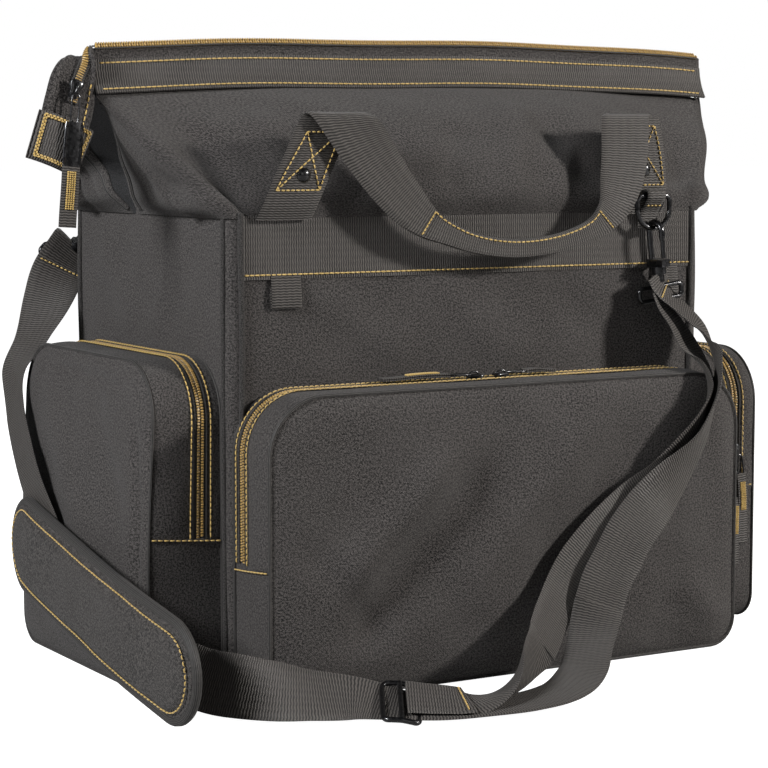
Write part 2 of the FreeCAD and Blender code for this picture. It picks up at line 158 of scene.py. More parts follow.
def woven(name, colour, pitch, depth=0.25, rough=0.82, sheen=0.04, wear=1.3, object_space=False):
    """Plain weave: small bumps in a checker, slubs along both threads, worn lighter patches."""
    s = Shader(name, rough, sheen_weight=sheen, sheen_roughness=0.5, specular_ior_level=0.2)
    vector = s.coords(object_space)
    u, v, w = s.split(vector)
    if object_space:
        u, v = s.math("ADD", u, w), s.math("ADD", v, w)
    weave = s.math("MULTIPLY", s.wave(u, pitch), s.wave(v, pitch))
    slub_u = s.noise(vector, 1000 / pitch * 1.15, 1.5, 0.6, (0.6, 1.0, 1.0))
    slub_v = s.noise(vector, 1000 / pitch * 1.15, 1.5, 0.6, (1.0, 0.6, 1.0))
    threads = s.math("ADD", slub_u, slub_v)
    patches = s.noise(vector, 14.0, 4.0, 0.6)
    grain = s.math("ADD", s.math("MULTIPLY", weave, 0.15), threads)
    tone = s.mix(s.span(grain, 0.84, 1.18, 0.0, 1.0), scaled(colour, 0.1), scaled(colour, 2.0))
    tone = s.mix(s.span(patches, 0.35, 0.75, 0.0, 0.3), tone, scaled(colour, wear))
    s.set("Base Color", tone)
    s.set("Roughness", s.span(patches, 0.3, 0.7, rough + 0.06, rough - 0.1))
    height = s.math("ADD", s.math("MULTIPLY", weave, 0.5), threads)
    rumple = s.bump(s.noise(vector, 30.0, 3.0, 0.55), 3.0, 0.6)
    s.set("Normal", s.bump(height, depth * 1.5, 0.9, rumple))
    return s.mat


def ribbed(name, colour, pitch=2.1, rough=0.62, depth=0.5, sheen=0.04, chevron=0.16):
    """Webbing: ribs across the tape, broken by a fine zigzag and by lengthwise columns."""
    s = Shader(name, rough, sheen_weight=sheen, sheen_roughness=0.5, specular_ior_level=0.25)
    vector = s.coords()
    u, v, _ = s.split(vector)
    zigzag = s.math("PINGPONG", u, 2.6 * MM)
    shifted = s.math("ADD", v, s.math("MULTIPLY", zigzag, chevron))
    rib = s.wave(shifted, pitch)
    column = s.wave(u, 5.2)
    fray = s.noise(vector, 420.0, 2.0, 0.6)
    patches = s.noise(vector, 20.0, 3.0, 0.6)
    height = s.math("ADD", s.math("MULTIPLY", rib, 0.5), s.math("MULTIPLY", column, 0.08))
    height = s.math("ADD", height, s.math("MULTIPLY", fray, 0.5))
    tone = s.mix(s.span(height, -0.15, 0.65, 0.0, 1.0), scaled(colour, 0.12), scaled(colour, 2.1))
    tone = s.mix(s.span(patches, 0.3, 0.75, 0.0, 0.45), tone, scaled(colour, 1.35))
    s.set("Base Color", tone)
    s.set("Roughness", s.span(patches, 0.3, 0.7, rough + 0.08, rough - 0.08))
    s.set("Normal", s.bump(height, depth, 0.9))
    return s.mat


def twisted(name, colour, dark, rough=0.45, object_space=False):
    """Sewing thread and zip coil: a shiny yarn with a slanting twist."""
    s = Shader(name, rough, sheen_weight=0.2, specular_ior_level=0.5)
    vector = s.coords(object_space)
    u, v, _ = s.split(vector)
    twist = s.wave(s.math("ADD", u, v), 0.9)
    uneven = s.noise(vector, 160.0, 2.0, 0.6)
    tone = s.mix(s.span(twist, -1.0, 0.6, 0.0, 1.0), dark, colour)
    tone = s.mix(s.span(uneven, 0.35, 0.7, 0.0, 0.5), tone, scaled(colour, 0.72))
    s.set("Base Color", tone)
    s.set("Roughness", s.span(uneven, 0.3, 0.7, rough + 0.1, rough - 0.08))
    s.set("Normal", s.bump(twist, 0.12, 0.7))
    return s.mat


def metal(name, colour, rough=0.24):
    """Black plated metal: smooth with faint ripples, rubbed brighter here and there."""
    s = Shader(name, rough, metallic=0.85, coat_weight=0.5, coat_roughness=0.12)
    vector = s.coords(True)
    ripple = s.noise(vector, 120.0, 3.0, 0.5)
    rubbed = s.noise(vector, 340.0, 4.0, 0.65)
    s.set("Base Color", s.mix(s.span(rubbed, 0.56, 0.72, 0.0, 0.55), colour, scaled(colour, 4.0)))
    s.set("Roughness", s.span(rubbed, 0.35, 0.7, rough, rough + 0.22))
    s.set("Normal", s.bump(ripple, 0.25, 0.35))
    return s.mat


def board(name, colour):
    """Grained plastic sheet."""
    s = Shader(name, 0.5)
    vector = s.coords(True)
    cells = s.noise(vector, 500.0, 3.0, 0.6)
    s.set("Base Color", s.mix(s.span(cells, 0.3, 0.7, 0.0, 1.0), scaled(colour, 0.8), scaled(colour, 1.2)))
    s.set("Roughness", s.span(cells, 0.3, 0.7, 0.4, 0.62))
    s.set("Normal", s.bump(cells, 0.3, 0.6))
    return s.mat


CHARCOAL = (0.0300, 0.0272, 0.0262)
POLYESTER = woven("polyester", CHARCOAL, 1.25)
LINING = woven("lining", (0.020, 0.020, 0.021), 0.9, depth=0.12, rough=0.7)
BASE_CLOTH = woven("base_fabric", (0.018, 0.017, 0.0165), 1.9, depth=0.4, rough=0.7)
PAD_CLOTH = woven("pad_cover", (0.028, 0.0255, 0.0242), 1.25)
PIPING = woven("piping", (0.020, 0.0185, 0.0178), 1.0, depth=0.15)
WEBBING = ribbed("webbing", (0.028, 0.0252, 0.0232), pitch=2.0)
TAPE = ribbed("binding_tape", (0.018, 0.0168, 0.016), pitch=1.3, depth=0.2, chevron=0.0)
THREAD = twisted("gold_thread", (0.46, 0.315, 0.085), (0.22, 0.13, 0.025))
COIL = twisted("gold_coil", (0.36, 0.225, 0.055), (0.11, 0.06, 0.012), rough=0.34)
METAL = metal("black_metal", (0.012, 0.012, 0.013))
BOARD = board("board", (0.02, 0.02, 0.021))


# ---------------------------------------------------------------- shape helpers
def smooth(x):
    x = np.clip(x, 0.0, 1.0)
    return x * x * (3 - 2 * x)


def unit(v):
    v = np.asarray(v, float)
    return v / np.maximum(np.linalg.norm(v, axis=-1, keepdims=True), 1e-9)


def joined(*parts):
    """The parts side by side along a new last axis."""
    return np.stack(parts, axis=-1)


def lattice(a, b):
    return np.meshgrid(a, b, indexing="ij")


def spline(rows, n=None, step=4.0):
    """Smooth curve through the rows, evenly spaced. The first three columns are the point."""
    rows = np.asarray(rows, float)
    chord = np.linalg.norm(np.diff(rows[:, :3], axis=0), axis=1)
    t = np.concatenate([[0], np.cumsum(np.maximum(chord, 1e-6))])
    slope = np.zeros_like(rows)
    slope[1:-1] = (rows[2:] - rows[:-2]) / (t[2:] - t[:-2])[:, None]
    slope[0] = (rows[1] - rows[0]) / (t[1] - t[0])
    slope[-1] = (rows[-1] - rows[-2]) / (t[-1] - t[-2])
    fine = np.linspace(0, t[-1], 40 * len(rows))
    k = np.clip(np.searchsorted(t, fine, side="right") - 1, 0, len(t) - 2)
    h = (t[k + 1] - t[k])[:, None]
    x = (fine - t[k])[:, None] / h
    out = ((2 * x**3 - 3 * x**2 + 1) * rows[k] + (x**3 - 2 * x**2 + x) * h * slope[k]
           + (-2 * x**3 + 3 * x**2) * rows[k + 1] + (x**3 - x**2) * h * slope[k + 1])
    return even(out, n, step)


def even(rows, n=None, step=4.0):
    """The same polyline with its points spread evenly along it."""
    rows = np.asarray(rows, float)
    t = lengths(rows[:, :3])
    n = n or max(2, int(round(t[-1] / step)) + 1)
    at = np.linspace(0, t[-1], n)
    return np.stack([np.interp(at, t, rows[:, c]) for c in range(rows.shape[1])], axis=1)


def lengths(p):
    """Distance along the points from the first one."""
    return np.concatenate([[0], np.cumsum(np.linalg.norm(np.diff(p, axis=0), axis=1))])


def tangents(p):
    return unit(np.gradient(p, axis=0))


def crease(h, z, start, end, width, height):
    """A soft ridge or, with a negative height, a furrow between two points, fading at both ends."""
    (x0, z0), (x1, z1) = start, end
    dx, dz = x1 - x0, z1 - z0
    length = math.hypot(dx, dz)
    t = ((h - x0) * dx + (z - z0) * dz) / length**2
    off = ((h - x0) * dz - (z - z0) * dx) / length
    fade = smooth((t + 0.12) / 0.32) * smooth((1.12 - t) / 0.32)
    return height * np.exp(-(off / width) ** 2) * fade


def lumps(points, scale, height, seed=0.0):
    """Unevenness of soft cloth, the same on every run."""
    flat = np.asarray(points, float).reshape(-1, 3) / scale + seed
    values = [noise.noise(Vector(p)) for p in flat]
    return height * np.array(values).reshape(np.asarray(points).shape[:-1])


BEAD_TURN = np.linspace(0, 2 * np.pi, 6, endpoint=False)
BEAD_COS, BEAD_SIN = np.cos(BEAD_TURN)[None, :, None], np.sin(BEAD_TURN)[None, :, None]
BEAD_FACES = [(r * 6 + k, r * 6 + (k + 1) % 6, r * 6 + 6 + (k + 1) % 6, r * 6 + 6 + k)
              for r in range(3) for k in range(6)] + [tuple(range(5, -1, -1)), tuple(range(18, 24))]


class Piece:
    """Gathers parts in millimetres, each with a material, and becomes one object in metres."""

    def __init__(self, name):
        self.name, self.verts, self.cloth, self.faces, self.index, self.mats = name, [], [], [], [], []
        self.count = 0

    def add(self, verts, faces, mat, cloth=None):
        verts = np.asarray(verts, float).reshape(-1, 3)
        if mat not in self.mats:
            self.mats.append(mat)
        self.faces.extend(tuple(int(i) + self.count for i in f) for f in faces)
        self.index.extend([self.mats.index(mat)] * len(faces))
        self.verts.append(verts)
        self.cloth.append(np.zeros_like(verts) if cloth is None else np.asarray(cloth, float).reshape(-1, 3))
        self.count += len(verts)

    def grid(self, p, mat, thick=0.0, back=None, cloth=None, flip=False, closed=False):
        """A sheet through an n by m array of points. Its outside is du x dv, or opposite with flip."""
        p = np.asarray(p, float)
        n, m = p.shape[:2]
        if cloth is None:
            du = np.linalg.norm(np.diff(p, axis=0), axis=2).mean(axis=1)
            dv = np.linalg.norm(np.diff(p, axis=1), axis=2).mean(axis=0)
            u = np.concatenate([[0], np.cumsum(du)])
            v = np.concatenate([[0], np.cumsum(dv)])
            cloth = joined(*lattice(u, v), np.zeros((n, m)))
        ids = np.arange(n * m).reshape(n, m)
        if closed:
            ids = np.concatenate([ids, ids[:1]])
        quads = joined(ids[:-1, :-1], ids[1:, :-1], ids[1:, 1:], ids[:-1, 1:]).reshape(-1, 4)
        if flip:
            quads = quads[:, ::-1]
        self.add(p, quads, mat, cloth)
        if not thick:
            return
        around = np.concatenate([p[-2:-1], p, p[1:2]]) if closed else p
        du = np.gradient(around, axis=0)
        if closed:
            du = du[1:-1]
        normal = unit(np.cross(du, np.gradient(p, axis=1)))
        inner = p - normal * thick * (-1 if flip else 1)
        self.add(inner, quads[:, ::-1], back or mat, cloth)
        a, b = self.count - 2 * n * m, self.count - n * m
        edges = [ids[:, 0], ids[:, -1][::-1]] if closed else [
            np.concatenate([ids[:, 0], ids[-1, 1:], ids[::-1, -1][1:], ids[0, ::-1][1:]])]
        slot = self.mats.index(mat)
        for loop in edges:
            for i, j in zip(loop[:-1], loop[1:]):
                quad = (a + i, b + i, b + j, a + j)
                self.faces.append(tuple(int(k) for k in (quad[::-1] if flip else quad)))
                self.index.append(slot)

    def tube(self, path, radius, mat, sides=8, closed=False, capped=True):
        path = np.asarray(path, float)
        n = len(path)
        radius = np.broadcast_to(np.asarray(radius, float), (n,))
        if closed:
            along = unit(np.roll(path, -1, axis=0) - np.roll(path, 1, axis=0))
        else:
            along = tangents(path)
        side = unit(np.cross(along[0], (0.12, 0.34, 0.93)))
        rings, turn = [], np.linspace(0, 2 * np.pi, sides, endpoint=False)
        for c, t, r in zip(path, along, radius):
            side = unit(side - t * side.dot(t))
            up = np.cross(t, side)
            rings.append(c + r * (np.cos(turn)[:, None] * side + np.sin(turn)[:, None] * up))
        length = lengths(path)
        cloth = joined(*lattice(length, turn * radius.mean()),
                          np.zeros((n, sides)))
        ids = np.arange(n * sides).reshape(n, sides)
        ids = np.concatenate([ids, ids[:, :1]], axis=1)
        if closed:
            ids = np.concatenate([ids, ids[:1]])
        faces = joined(ids[:-1, :-1], ids[:-1, 1:], ids[1:, 1:], ids[1:, :-1]).reshape(-1, 4)
        faces = [tuple(f) for f in faces]
        if not closed and capped:
            faces += [tuple(ids[0, :-1][::-1]), tuple(ids[-1, :-1])]
        self.add(np.array(rings), faces, mat, cloth)

    def strip(self, centres, across, width, thick, mat, cupped=0.0, skewed=False):
        """Flat tape with rounded edges along centres. across points from one edge to the other."""
        centres = np.asarray(centres, float)
        n = len(centres)
        along = tangents(centres)
        across = np.broadcast_to(np.asarray(across, float), (n, 3))
        if not skewed:
            across = across - along * np.sum(across * along, axis=1, keepdims=True)
        across = unit(across)
        out = unit(np.cross(along, across))
        width = np.broadcast_to(np.asarray(width, float), (n,))
        thick = np.broadcast_to(np.asarray(thick, float), (n,))
        x = np.array([-0.5, -0.46, -0.3, -0.1, 0.1, 0.3, 0.46, 0.5, 0.46, 0.3, 0.1, -0.1, -0.3, -0.46])
        y = np.array([0, 0.42, 0.5, 0.5, 0.5, 0.5, 0.42, 0, -0.42, -0.5, -0.5, -0.5, -0.5, -0.42])
        bow = cupped * (4 * x**2 - 0.5)
        p = (centres[:, None] + across[:, None] * (x[None, :, None] * width[:, None, None])
             + out[:, None] * (y[None, :, None] * thick[:, None, None] + bow[None, :, None]))
        length = lengths(centres)
        cloth = np.zeros((n, 14, 3))
        cloth[:, :, 0] = x * width.mean()
        cloth[:, :, 1] = length[:, None]
        ids = np.arange(n * 14).reshape(n, 14)
        ids = np.concatenate([ids, ids[:, :1]], axis=1)
        faces = joined(ids[:-1, :-1], ids[1:, :-1], ids[1:, 1:], ids[:-1, 1:]).reshape(-1, 4)
        faces = [tuple(f) for f in faces] + [tuple(ids[0, :-1]), tuple(ids[-1, :-1][::-1])]
        self.add(p, faces, mat, cloth)
        return centres, across, out

    def bead(self, core, radius, side, up, along, around, mat):
        """Short closed tube of four rings: one stitch, or one loop of a zip's coil."""
        ring = core[:, None] + radius[:, None, None] * (BEAD_COS * side + BEAD_SIN * up)
        cloth = np.zeros((4, 6, 3))
        cloth[:, :, 0] = along
        cloth[:, :, 1] = (BEAD_TURN * around)[None]
        self.add(ring, BEAD_FACES, mat, cloth)

    def stitches(self, path, normal, pitch=4.4, length=3.9, radius=0.6, lift=0.45):
        """A line of separate stitches. normal is the surface's, one for all or one for each point."""
        path = np.asarray(path, float)
        normal = np.broadcast_to(np.asarray(normal, float), path.shape)
        both = even(np.concatenate([path, normal], axis=1), None, 1.15)
        t = lengths(both[:, :3])
        count = max(1, int((t[-1] + pitch - length) / pitch))
        gap = (t[-1] - count * length) / max(1, count - 1) if count > 1 else 0
        for i in range(count):
            at = i * (length + gap) + np.array([0.0, 0.22, 0.78, 1.0]) * length
            row = np.stack([np.interp(at, t, both[:, c]) for c in range(6)], axis=1)
            up = unit(row[:, 3:])
            core = row[:, :3] + up * (lift + np.array([-0.45, 0.1, 0.1, -0.45]))[:, None]
            along = unit(core[-1] - core[0])
            side = unit(np.cross(along, up))
            lifted = np.cross(side, along)
            self.bead(core, radius * np.array([0.55, 1.0, 1.0, 0.55]), side[:, None], lifted[:, None],
                      (at - at[0])[:, None] + i * 1.7, radius, THREAD)

    def coil(self, path, normal, across, reach=2.6, height=1.5, pitch=1.75, phase=0.0):
        """One row of a coil zip: rounded loops. across points from the tape to the other row."""
        path = np.asarray(path, float)
        both = np.concatenate([path, np.broadcast_to(np.asarray(normal, float), path.shape),
                               np.broadcast_to(np.asarray(across, float), path.shape)], axis=1)
        both = even(both, None, 1.0)
        t = lengths(both[:, :3])
        for s in np.arange(0.9 + phase * pitch, t[-1] - 0.5, pitch):
            row = np.array([np.interp(s, t, both[:, c]) for c in range(9)])
            up, side = unit(row[3:6]), unit(row[6:])
            along = np.cross(side, up)
            core = row[:3] + side * (np.array([-0.5, -0.38, 0.34, 0.5]) * reach)[:, None]
            taper = np.array([0.55, 1.0, 1.0, 0.6])
            self.bead(core, taper, along * pitch * 0.4, up * height * 0.5, s, 0.6, COIL)

    def make(self, body, slot, replaces=(), blend=None, sharp=50):
        """Turns the parts into an object that rides on body, or, when blend is given, stays fixed in place on no body.
        """
        mesh = bpy.data.meshes.new(self.name)
        mesh.from_pydata([tuple(v) for v in np.concatenate(self.verts) * MM], [], self.faces)
        for mat in self.mats:
            mesh.materials.append(mat)
        mesh.polygons.foreach_set("material_index", self.index)
        mesh.attributes.new("cloth", "FLOAT_VECTOR", "POINT").data.foreach_set(
            "vector", (np.concatenate(self.cloth) * MM).astype(np.float32).ravel())
        mesh.validate()
        mesh.shade_smooth()
        mesh.set_sharp_from_angle(angle=math.radians(sharp))
        obj = bpy.data.objects.new(self.name, mesh)
        bpy.context.scene.collection.objects.link(obj)
        if blend:
            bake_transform(obj)
        else:
            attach(obj, body)
        if replaces:
            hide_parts(*replaces)
        return obj


# ---------------------------------------------------------------- camera, light and floor
TARGET = Vector((-1.5, 0.0, 206.8)) * MM
AZIMUTH, ELEVATION, DISTANCE = math.radians(-30.5), math.radians(5.9), 1.9297


def studio():
    back = Vector((math.sin(AZIMUTH) * math.cos(ELEVATION), -math.cos(AZIMUTH) * math.cos(ELEVATION),
                   math.sin(ELEVATION)))
    data = bpy.data.cameras.new("camera")
    data.lens, data.sensor_width = 108.82, 36.0
    camera = bpy.data.objects.new("camera", data)
    camera.location = TARGET + back * DISTANCE
    camera.rotation_mode = "QUATERNION"
    camera.rotation_quaternion = (-back).to_track_quat("-Z", "Y")
    bpy.context.scene.collection.objects.link(camera)
    bpy.context.scene.camera = camera

    def area(name, place, size, power, colour=(1, 1, 1)):
        lamp = bpy.data.lights.new(name, "AREA")
        lamp.shape, lamp.size, lamp.energy, lamp.color = "SQUARE", size, power, colour
        obj = bpy.data.objects.new(name, lamp)
        obj.location = place
        obj.rotation_mode = "QUATERNION"
        obj.rotation_quaternion = (TARGET - obj.location).to_track_quat("-Z", "Y")
        bpy.context.scene.collection.objects.link(obj)

    area("key", Vector((1.45, -1.45, 1.0)), 0.24, 76.0, (1.0, 0.97, 0.93))
    area("front", Vector((-0.6, -2.2, 0.8)), 0.9, 4.0, (1.0, 0.99, 0.97))
    area("side", Vector((-1.9, -0.5, 1.2)), 0.5, 78.0, (0.98, 0.99, 1.0))
    area("rear", Vector((0.6, 1.9, 1.5)), 1.2, 30.0)

    world = bpy.data.worlds.new("studio")
    world.use_nodes = True
    tree = world.node_tree
    dim = tree.nodes["Background"]
    dim.inputs["Color"].default_value = (1, 1, 1, 1)
    dim.inputs["Strength"].default_value = 0.05
    bright = tree.nodes.new("ShaderNodeBackground")
    bright.inputs["Color"].default_value = (1, 1, 1, 1)
    choose = tree.nodes.new("ShaderNodeMixShader")
    tree.links.new(tree.nodes.new("ShaderNodeLightPath").outputs["Is Camera Ray"], choose.inputs[0])
    tree.links.new(dim.outputs[0], choose.inputs[1])
    tree.links.new(bright.outputs[0], choose.inputs[2])
    tree.links.new(choose.outputs[0], tree.nodes["World Output"].inputs["Surface"])
    bpy.context.scene.world = world

    mesh = bpy.data.meshes.new("floor")
    mesh.from_pydata([(-30, -30, 0), (30, -30, 0), (30, 30, 0), (-30, 30, 0)], [], [(0, 1, 2, 3)])
    floor = bpy.data.objects.new("floor", mesh)
    pale = bpy.data.materials.new("floor")
    pale.use_nodes = True
    bsdf = pale.node_tree.nodes["Principled BSDF"]
    bsdf.inputs["Base Color"].default_value = (0.32, 0.32, 0.32, 1)
    bsdf.inputs["Roughness"].default_value = 0.7
    bsdf.inputs["Emission Color"].default_value = (1, 1, 1, 1)
    seen = pale.node_tree.nodes.new("ShaderNodeLightPath")
    pale.node_tree.links.new(seen.outputs["Is Camera Ray"], bsdf.inputs["Emission Strength"])
    mesh.materials.append(pale)
    bpy.context.scene.collection.objects.link(floor)
    bpy.context.scene.view_settings.view_transform = "Standard"


studio()


# ---------------------------------------------------------------- places on the four walls
def at(side, h, d, z):
    """World points from a wall's own coordinates: h to the right, d outwards, z up, seen from outside."""
    h, d, z = np.broadcast_arrays(np.asarray(h, float), np.asarray(d, float), np.asarray(z, float))
    x, y = {"front": (h, -HALF_D - d), "rear": (-h, HALF_D + d),
            "left": (-HALF_W - d, -h), "right": (HALF_W + d, h)}[side]
    return joined(x, y, z)


OUT = {"front": (0, -1, 0), "rear": (0, 1, 0), "left": (-1, 0, 0), "right": (1, 0, 0)}
FRONT_CREASES = [((-150, 300), (-60, 236), 15, 3.0), ((-40, 306), (40, 228), 20, 3.6),
                 ((60, 300), (150, 236), 16, -2.6), ((-190, 260), (-120, 226), 12, 2.0)]
SIDE_CREASES = [((-90, 330), (-20, 262), 18, 3.0), ((90, 320), (30, 258), 16, -2.4)]
CORNER_R = 9.0


def wall_bulge(side, h, z):
    """How far the padded wall stands proud of its flat frame."""
    half = (HALF_W if side in ("front", "rear") else HALF_D) - CORNER_R
    across = 1 - np.abs(h / half) ** 3
    up = np.sin(np.pi * np.clip(z / RIM_Z, 0, 1)) ** 0.8
    d = 2.6 * across * up
    for start, end, width, height in (FRONT_CREASES if side in ("front", "rear") else SIDE_CREASES):
        d = d + crease(h, z, start, end, width, height) * across
    return d


def walls():
    for side, nodes in (("front", "front_panel"), ("rear", "rear_panel"),
                        ("left", "left_panel"), ("right", "right_panel")):
        half = (HALF_W if side in ("front", "rear") else HALF_D) - CORNER_R
        h, z = lattice(np.linspace(-half, half, int(half / 3.2)), np.linspace(3, 355, 100))
        d = wall_bulge(side, h, z)
        d = d + lumps(at(side, h, 0, z), 46, 0.9, 3.1) * (1 - np.abs(h / half) ** 6)
        piece = Piece(side + "_wall")
        piece.grid(at(side, h, d, z), POLYESTER, thick=3.0, back=LINING,
                   cloth=joined(h, z, h * 0))
        piece.make("bag", "polyester", [nodes])


def corners():
    """Rounded corner strips between two raised seams."""
    piece = Piece("corner_seams")
    z = np.linspace(3, 355, 60)
    turn = np.linspace(0, np.pi / 2, 7)
    for sx in (-1, 1):
        for sy in (-1, 1):
            cx, cy = sx * (HALF_W - CORNER_R), sy * (HALF_D - CORNER_R)
            bow = 1.2 * np.sin(np.pi * z / RIM_Z)
            a, zz = lattice(turn, z)
            r = CORNER_R + bow[None]
            p = joined(cx + sx * r * np.cos(a), cy + sy * r * np.sin(a), zz)
            piece.grid(p, POLYESTER, thick=2.4, back=LINING, flip=sx * sy < 0,
                       cloth=joined(a * CORNER_R, zz, a * 0))
            for angle, shift in ((0.0, 0.3), (np.pi / 2, 0.3)):
                r = CORNER_R + shift + bow * 0.6
                path = joined(cx + sx * r * math.cos(angle), cy + sy * r * math.sin(angle), z)
                path = path + (0.35 * np.sin(z / 21.0 + angle * 3))[:, None] * np.array([sx, sy, 0])
                piece.tube(path, 2.3, PIPING, sides=10)
    piece.make("bag", "piping", ["corner_piping"])


def base():
    piece = Piece("base_shell")
    n = 96
    turn = np.linspace(0, 2 * np.pi, n, endpoint=False)
    power = 0.16
    outline = joined(np.sign(np.cos(turn)) * np.abs(np.cos(turn)) ** power * (HALF_W - 0.5),
                        np.sign(np.sin(turn)) * np.abs(np.sin(turn)) ** power * (HALF_D - 0.5))
    outline = np.column_stack([outline, np.zeros(n)])
    outline = even(np.concatenate([outline, outline[:1]]), 241)[:-1, :2]
    rings = []
    profile = ((0.0, 1.9), (0.2, 1.7), (0.45, 1.6), (0.7, 1.5), (0.9, 1.3), (0.97, 1.25), (0.992, 2.0), (1.0, 4.0))
    for k, z in profile:  # share of the way out from the middle, height
        rings.append(np.column_stack([outline * max(k, 0.001), np.full(len(outline), z)]))
    p = np.stack(rings, axis=1)
    piece.grid(p, BASE_CLOTH, thick=1.6, closed=True,
               cloth=joined(p[:, :, 0], p[:, :, 1], p[:, :, 0] * 0))
    rim = np.column_stack([outline, np.full(len(outline), 4.4)])
    piece.tube(rim, 2.3, PIPING, closed=True)
    row = np.column_stack([outline * 0.955, np.full(len(outline), 1.2)])
    piece.stitches(row, (0, 0, -1), radius=0.4, lift=0.1)
    piece.make("bag", "base_fabric", ["base_panel"])
    stiff = Piece("stiffening_board")
    h, k = lattice(np.linspace(-204, 204, 30), np.linspace(-130, 130, 20))
    top = joined(h, k, 5.6 + 0.25 * np.cos(h / 60) * np.cos(k / 50))
    stiff.grid(top, BOARD, thick=2.6)
    stiff.make("bag", "base_board", ["base_board"])


def bands():
    """Wide webbing sewn round below the rim, with one row of stitching and small folded tabs."""
    piece = Piece("rim_webbing")
    for side in ("front", "rear"):
        h, z = lattice(np.linspace(-206, 206, 130), np.linspace(306, 353, 14))
        d = wall_bulge(side, h, z) * 0.7 + 1.3
        d = d + 0.5 * np.sin(h / 17.0) * smooth((312 - z) / 6)
        piece.grid(at(side, h, d, z), WEBBING, thick=1.7, cloth=joined(z, h, h * 0))
        x = np.linspace(-204, 204, 120)
        piece.stitches(at(side, x, wall_bulge(side, x, x * 0 + 309.5) * 0.7 + 1.5, x * 0 + 309.5), OUT[side])
    piece.make("bag", "webbing", ["rim_bands"])
    tabs = Piece("tape_loops")
    for x in (-170, 179):
        d = float(wall_bulge("front", np.array(x), np.array(295.0)))
        out, z = np.array([0.9, 2.6, 3.6, 2.9, 1.6, 0.9]), np.array([310, 300, 290, 284.5, 287, 300])
        path = at("front", x, out + d, z)
        tabs.strip(spline(path, step=1.6), (1, 0, 0), 25.0, 1.3, WEBBING, cupped=0.5)
    tabs.make("bag", "webbing", ["tape_tabs"])


def organiser():
    """Row of open pockets inside the rear wall, with bound top edges."""
    piece = Piece("inner_pocket_row")
    half, top, depth, back = 180.0, 198.0, 11.0, HALF_D - 3.5
    x = np.linspace(-half, half, 181)
    billow = depth * (0.55 + 0.45 * np.abs(np.sin((x + half) / (2 * half) * 4 * np.pi)) ** 0.5)
    xx, z = lattice(x, np.linspace(7, top, 30))
    y = back - billow[:, None] * (0.72 + 0.28 * np.sin(np.pi * (z - 7) / (top - 7)))
    piece.grid(joined(xx, y, z), LINING, thick=1.2)
    edge = joined(x, back - billow * 0.72 - 0.4, np.full(len(x), top))
    piece.strip(edge, (0, 0, 1), 10.0, 2.6, TAPE)
    for i in range(5):
        at_x = -half + i * half / 2
        divider = [[at_x, back - 6, z] for z in np.linspace(7, top, 20)]
        piece.strip(divider, (1, 0, 0), 6.0, 1.4, TAPE)
        piece.stitches(np.array([[at_x, back - 7.2, 9.0], [at_x, back - 7.2, top - 4]]), (0, -1, 0))
    piece.make("bag", "lining", ["inner_pockets"])


# ---------------------------------------------------------------- hood
def ridge_rise(x):
    """The top zip bows up a little between its ends."""
    x = np.asarray(x, float)
    return 7.0 * (1 - np.abs(x / RIDGE_HALF) ** 2.4) + 2.0 * smooth((x + 100) / 300)


def bezier(p0, p1, p2, p3, n=36):
    t = np.linspace(0, 1, n)[:, None]
    return (1 - t)**3 * p0 + 3 * t * (1 - t)**2 * p1 + 3 * t**2 * (1 - t) * p2 + t**3 * p3


def hood_column(foot, out, top, full, puff=5.0):
    """One upright line of the hood. full 0 runs straight from rim to zip, 1 rises before it leans over."""
    p0, p3 = np.array([*foot, 351.0]), np.array(top, float)
    out = np.array([*out, 0.0])
    lean = 62.0 if out[1] < 0 else 120.0
    p1 = p0 + (p3 - p0) / 3
    p2 = p0 + (p3 - p0) * 2 / 3
    p1 = p1 + (p0 + out * 17 + np.array([0, 0, 46.0]) - p1) * full + out * puff * (1 - full)
    p2 = p2 + (p3 + out * lean + np.array([0, 0, -13.0]) - p2) * full + out * 6 * (1 - full)
    return bezier(p0, p1, p2, p3)


PLEAT_EDGE = {  # the bound edge of each half at the bag's left end, from the rim to the top zip
    -1: [(-217, 10, 351), (-219, 10, 361), (-223, 8, 370), (-229, 4, 380), (-238, -4, 395), (-246, -14, 410),
         (-256, -28, 425), (-265, -40, 434), (-280, -50, 443)],
    1: [(-217, 22, 351), (-221, 24, 362), (-226, 29, 371), (-230, 36, 383), (-236, 42, 393), (-243, 43, 402),
        (-256, 22, 416), (-271, -18, 431), (-282, -46, 443)]}


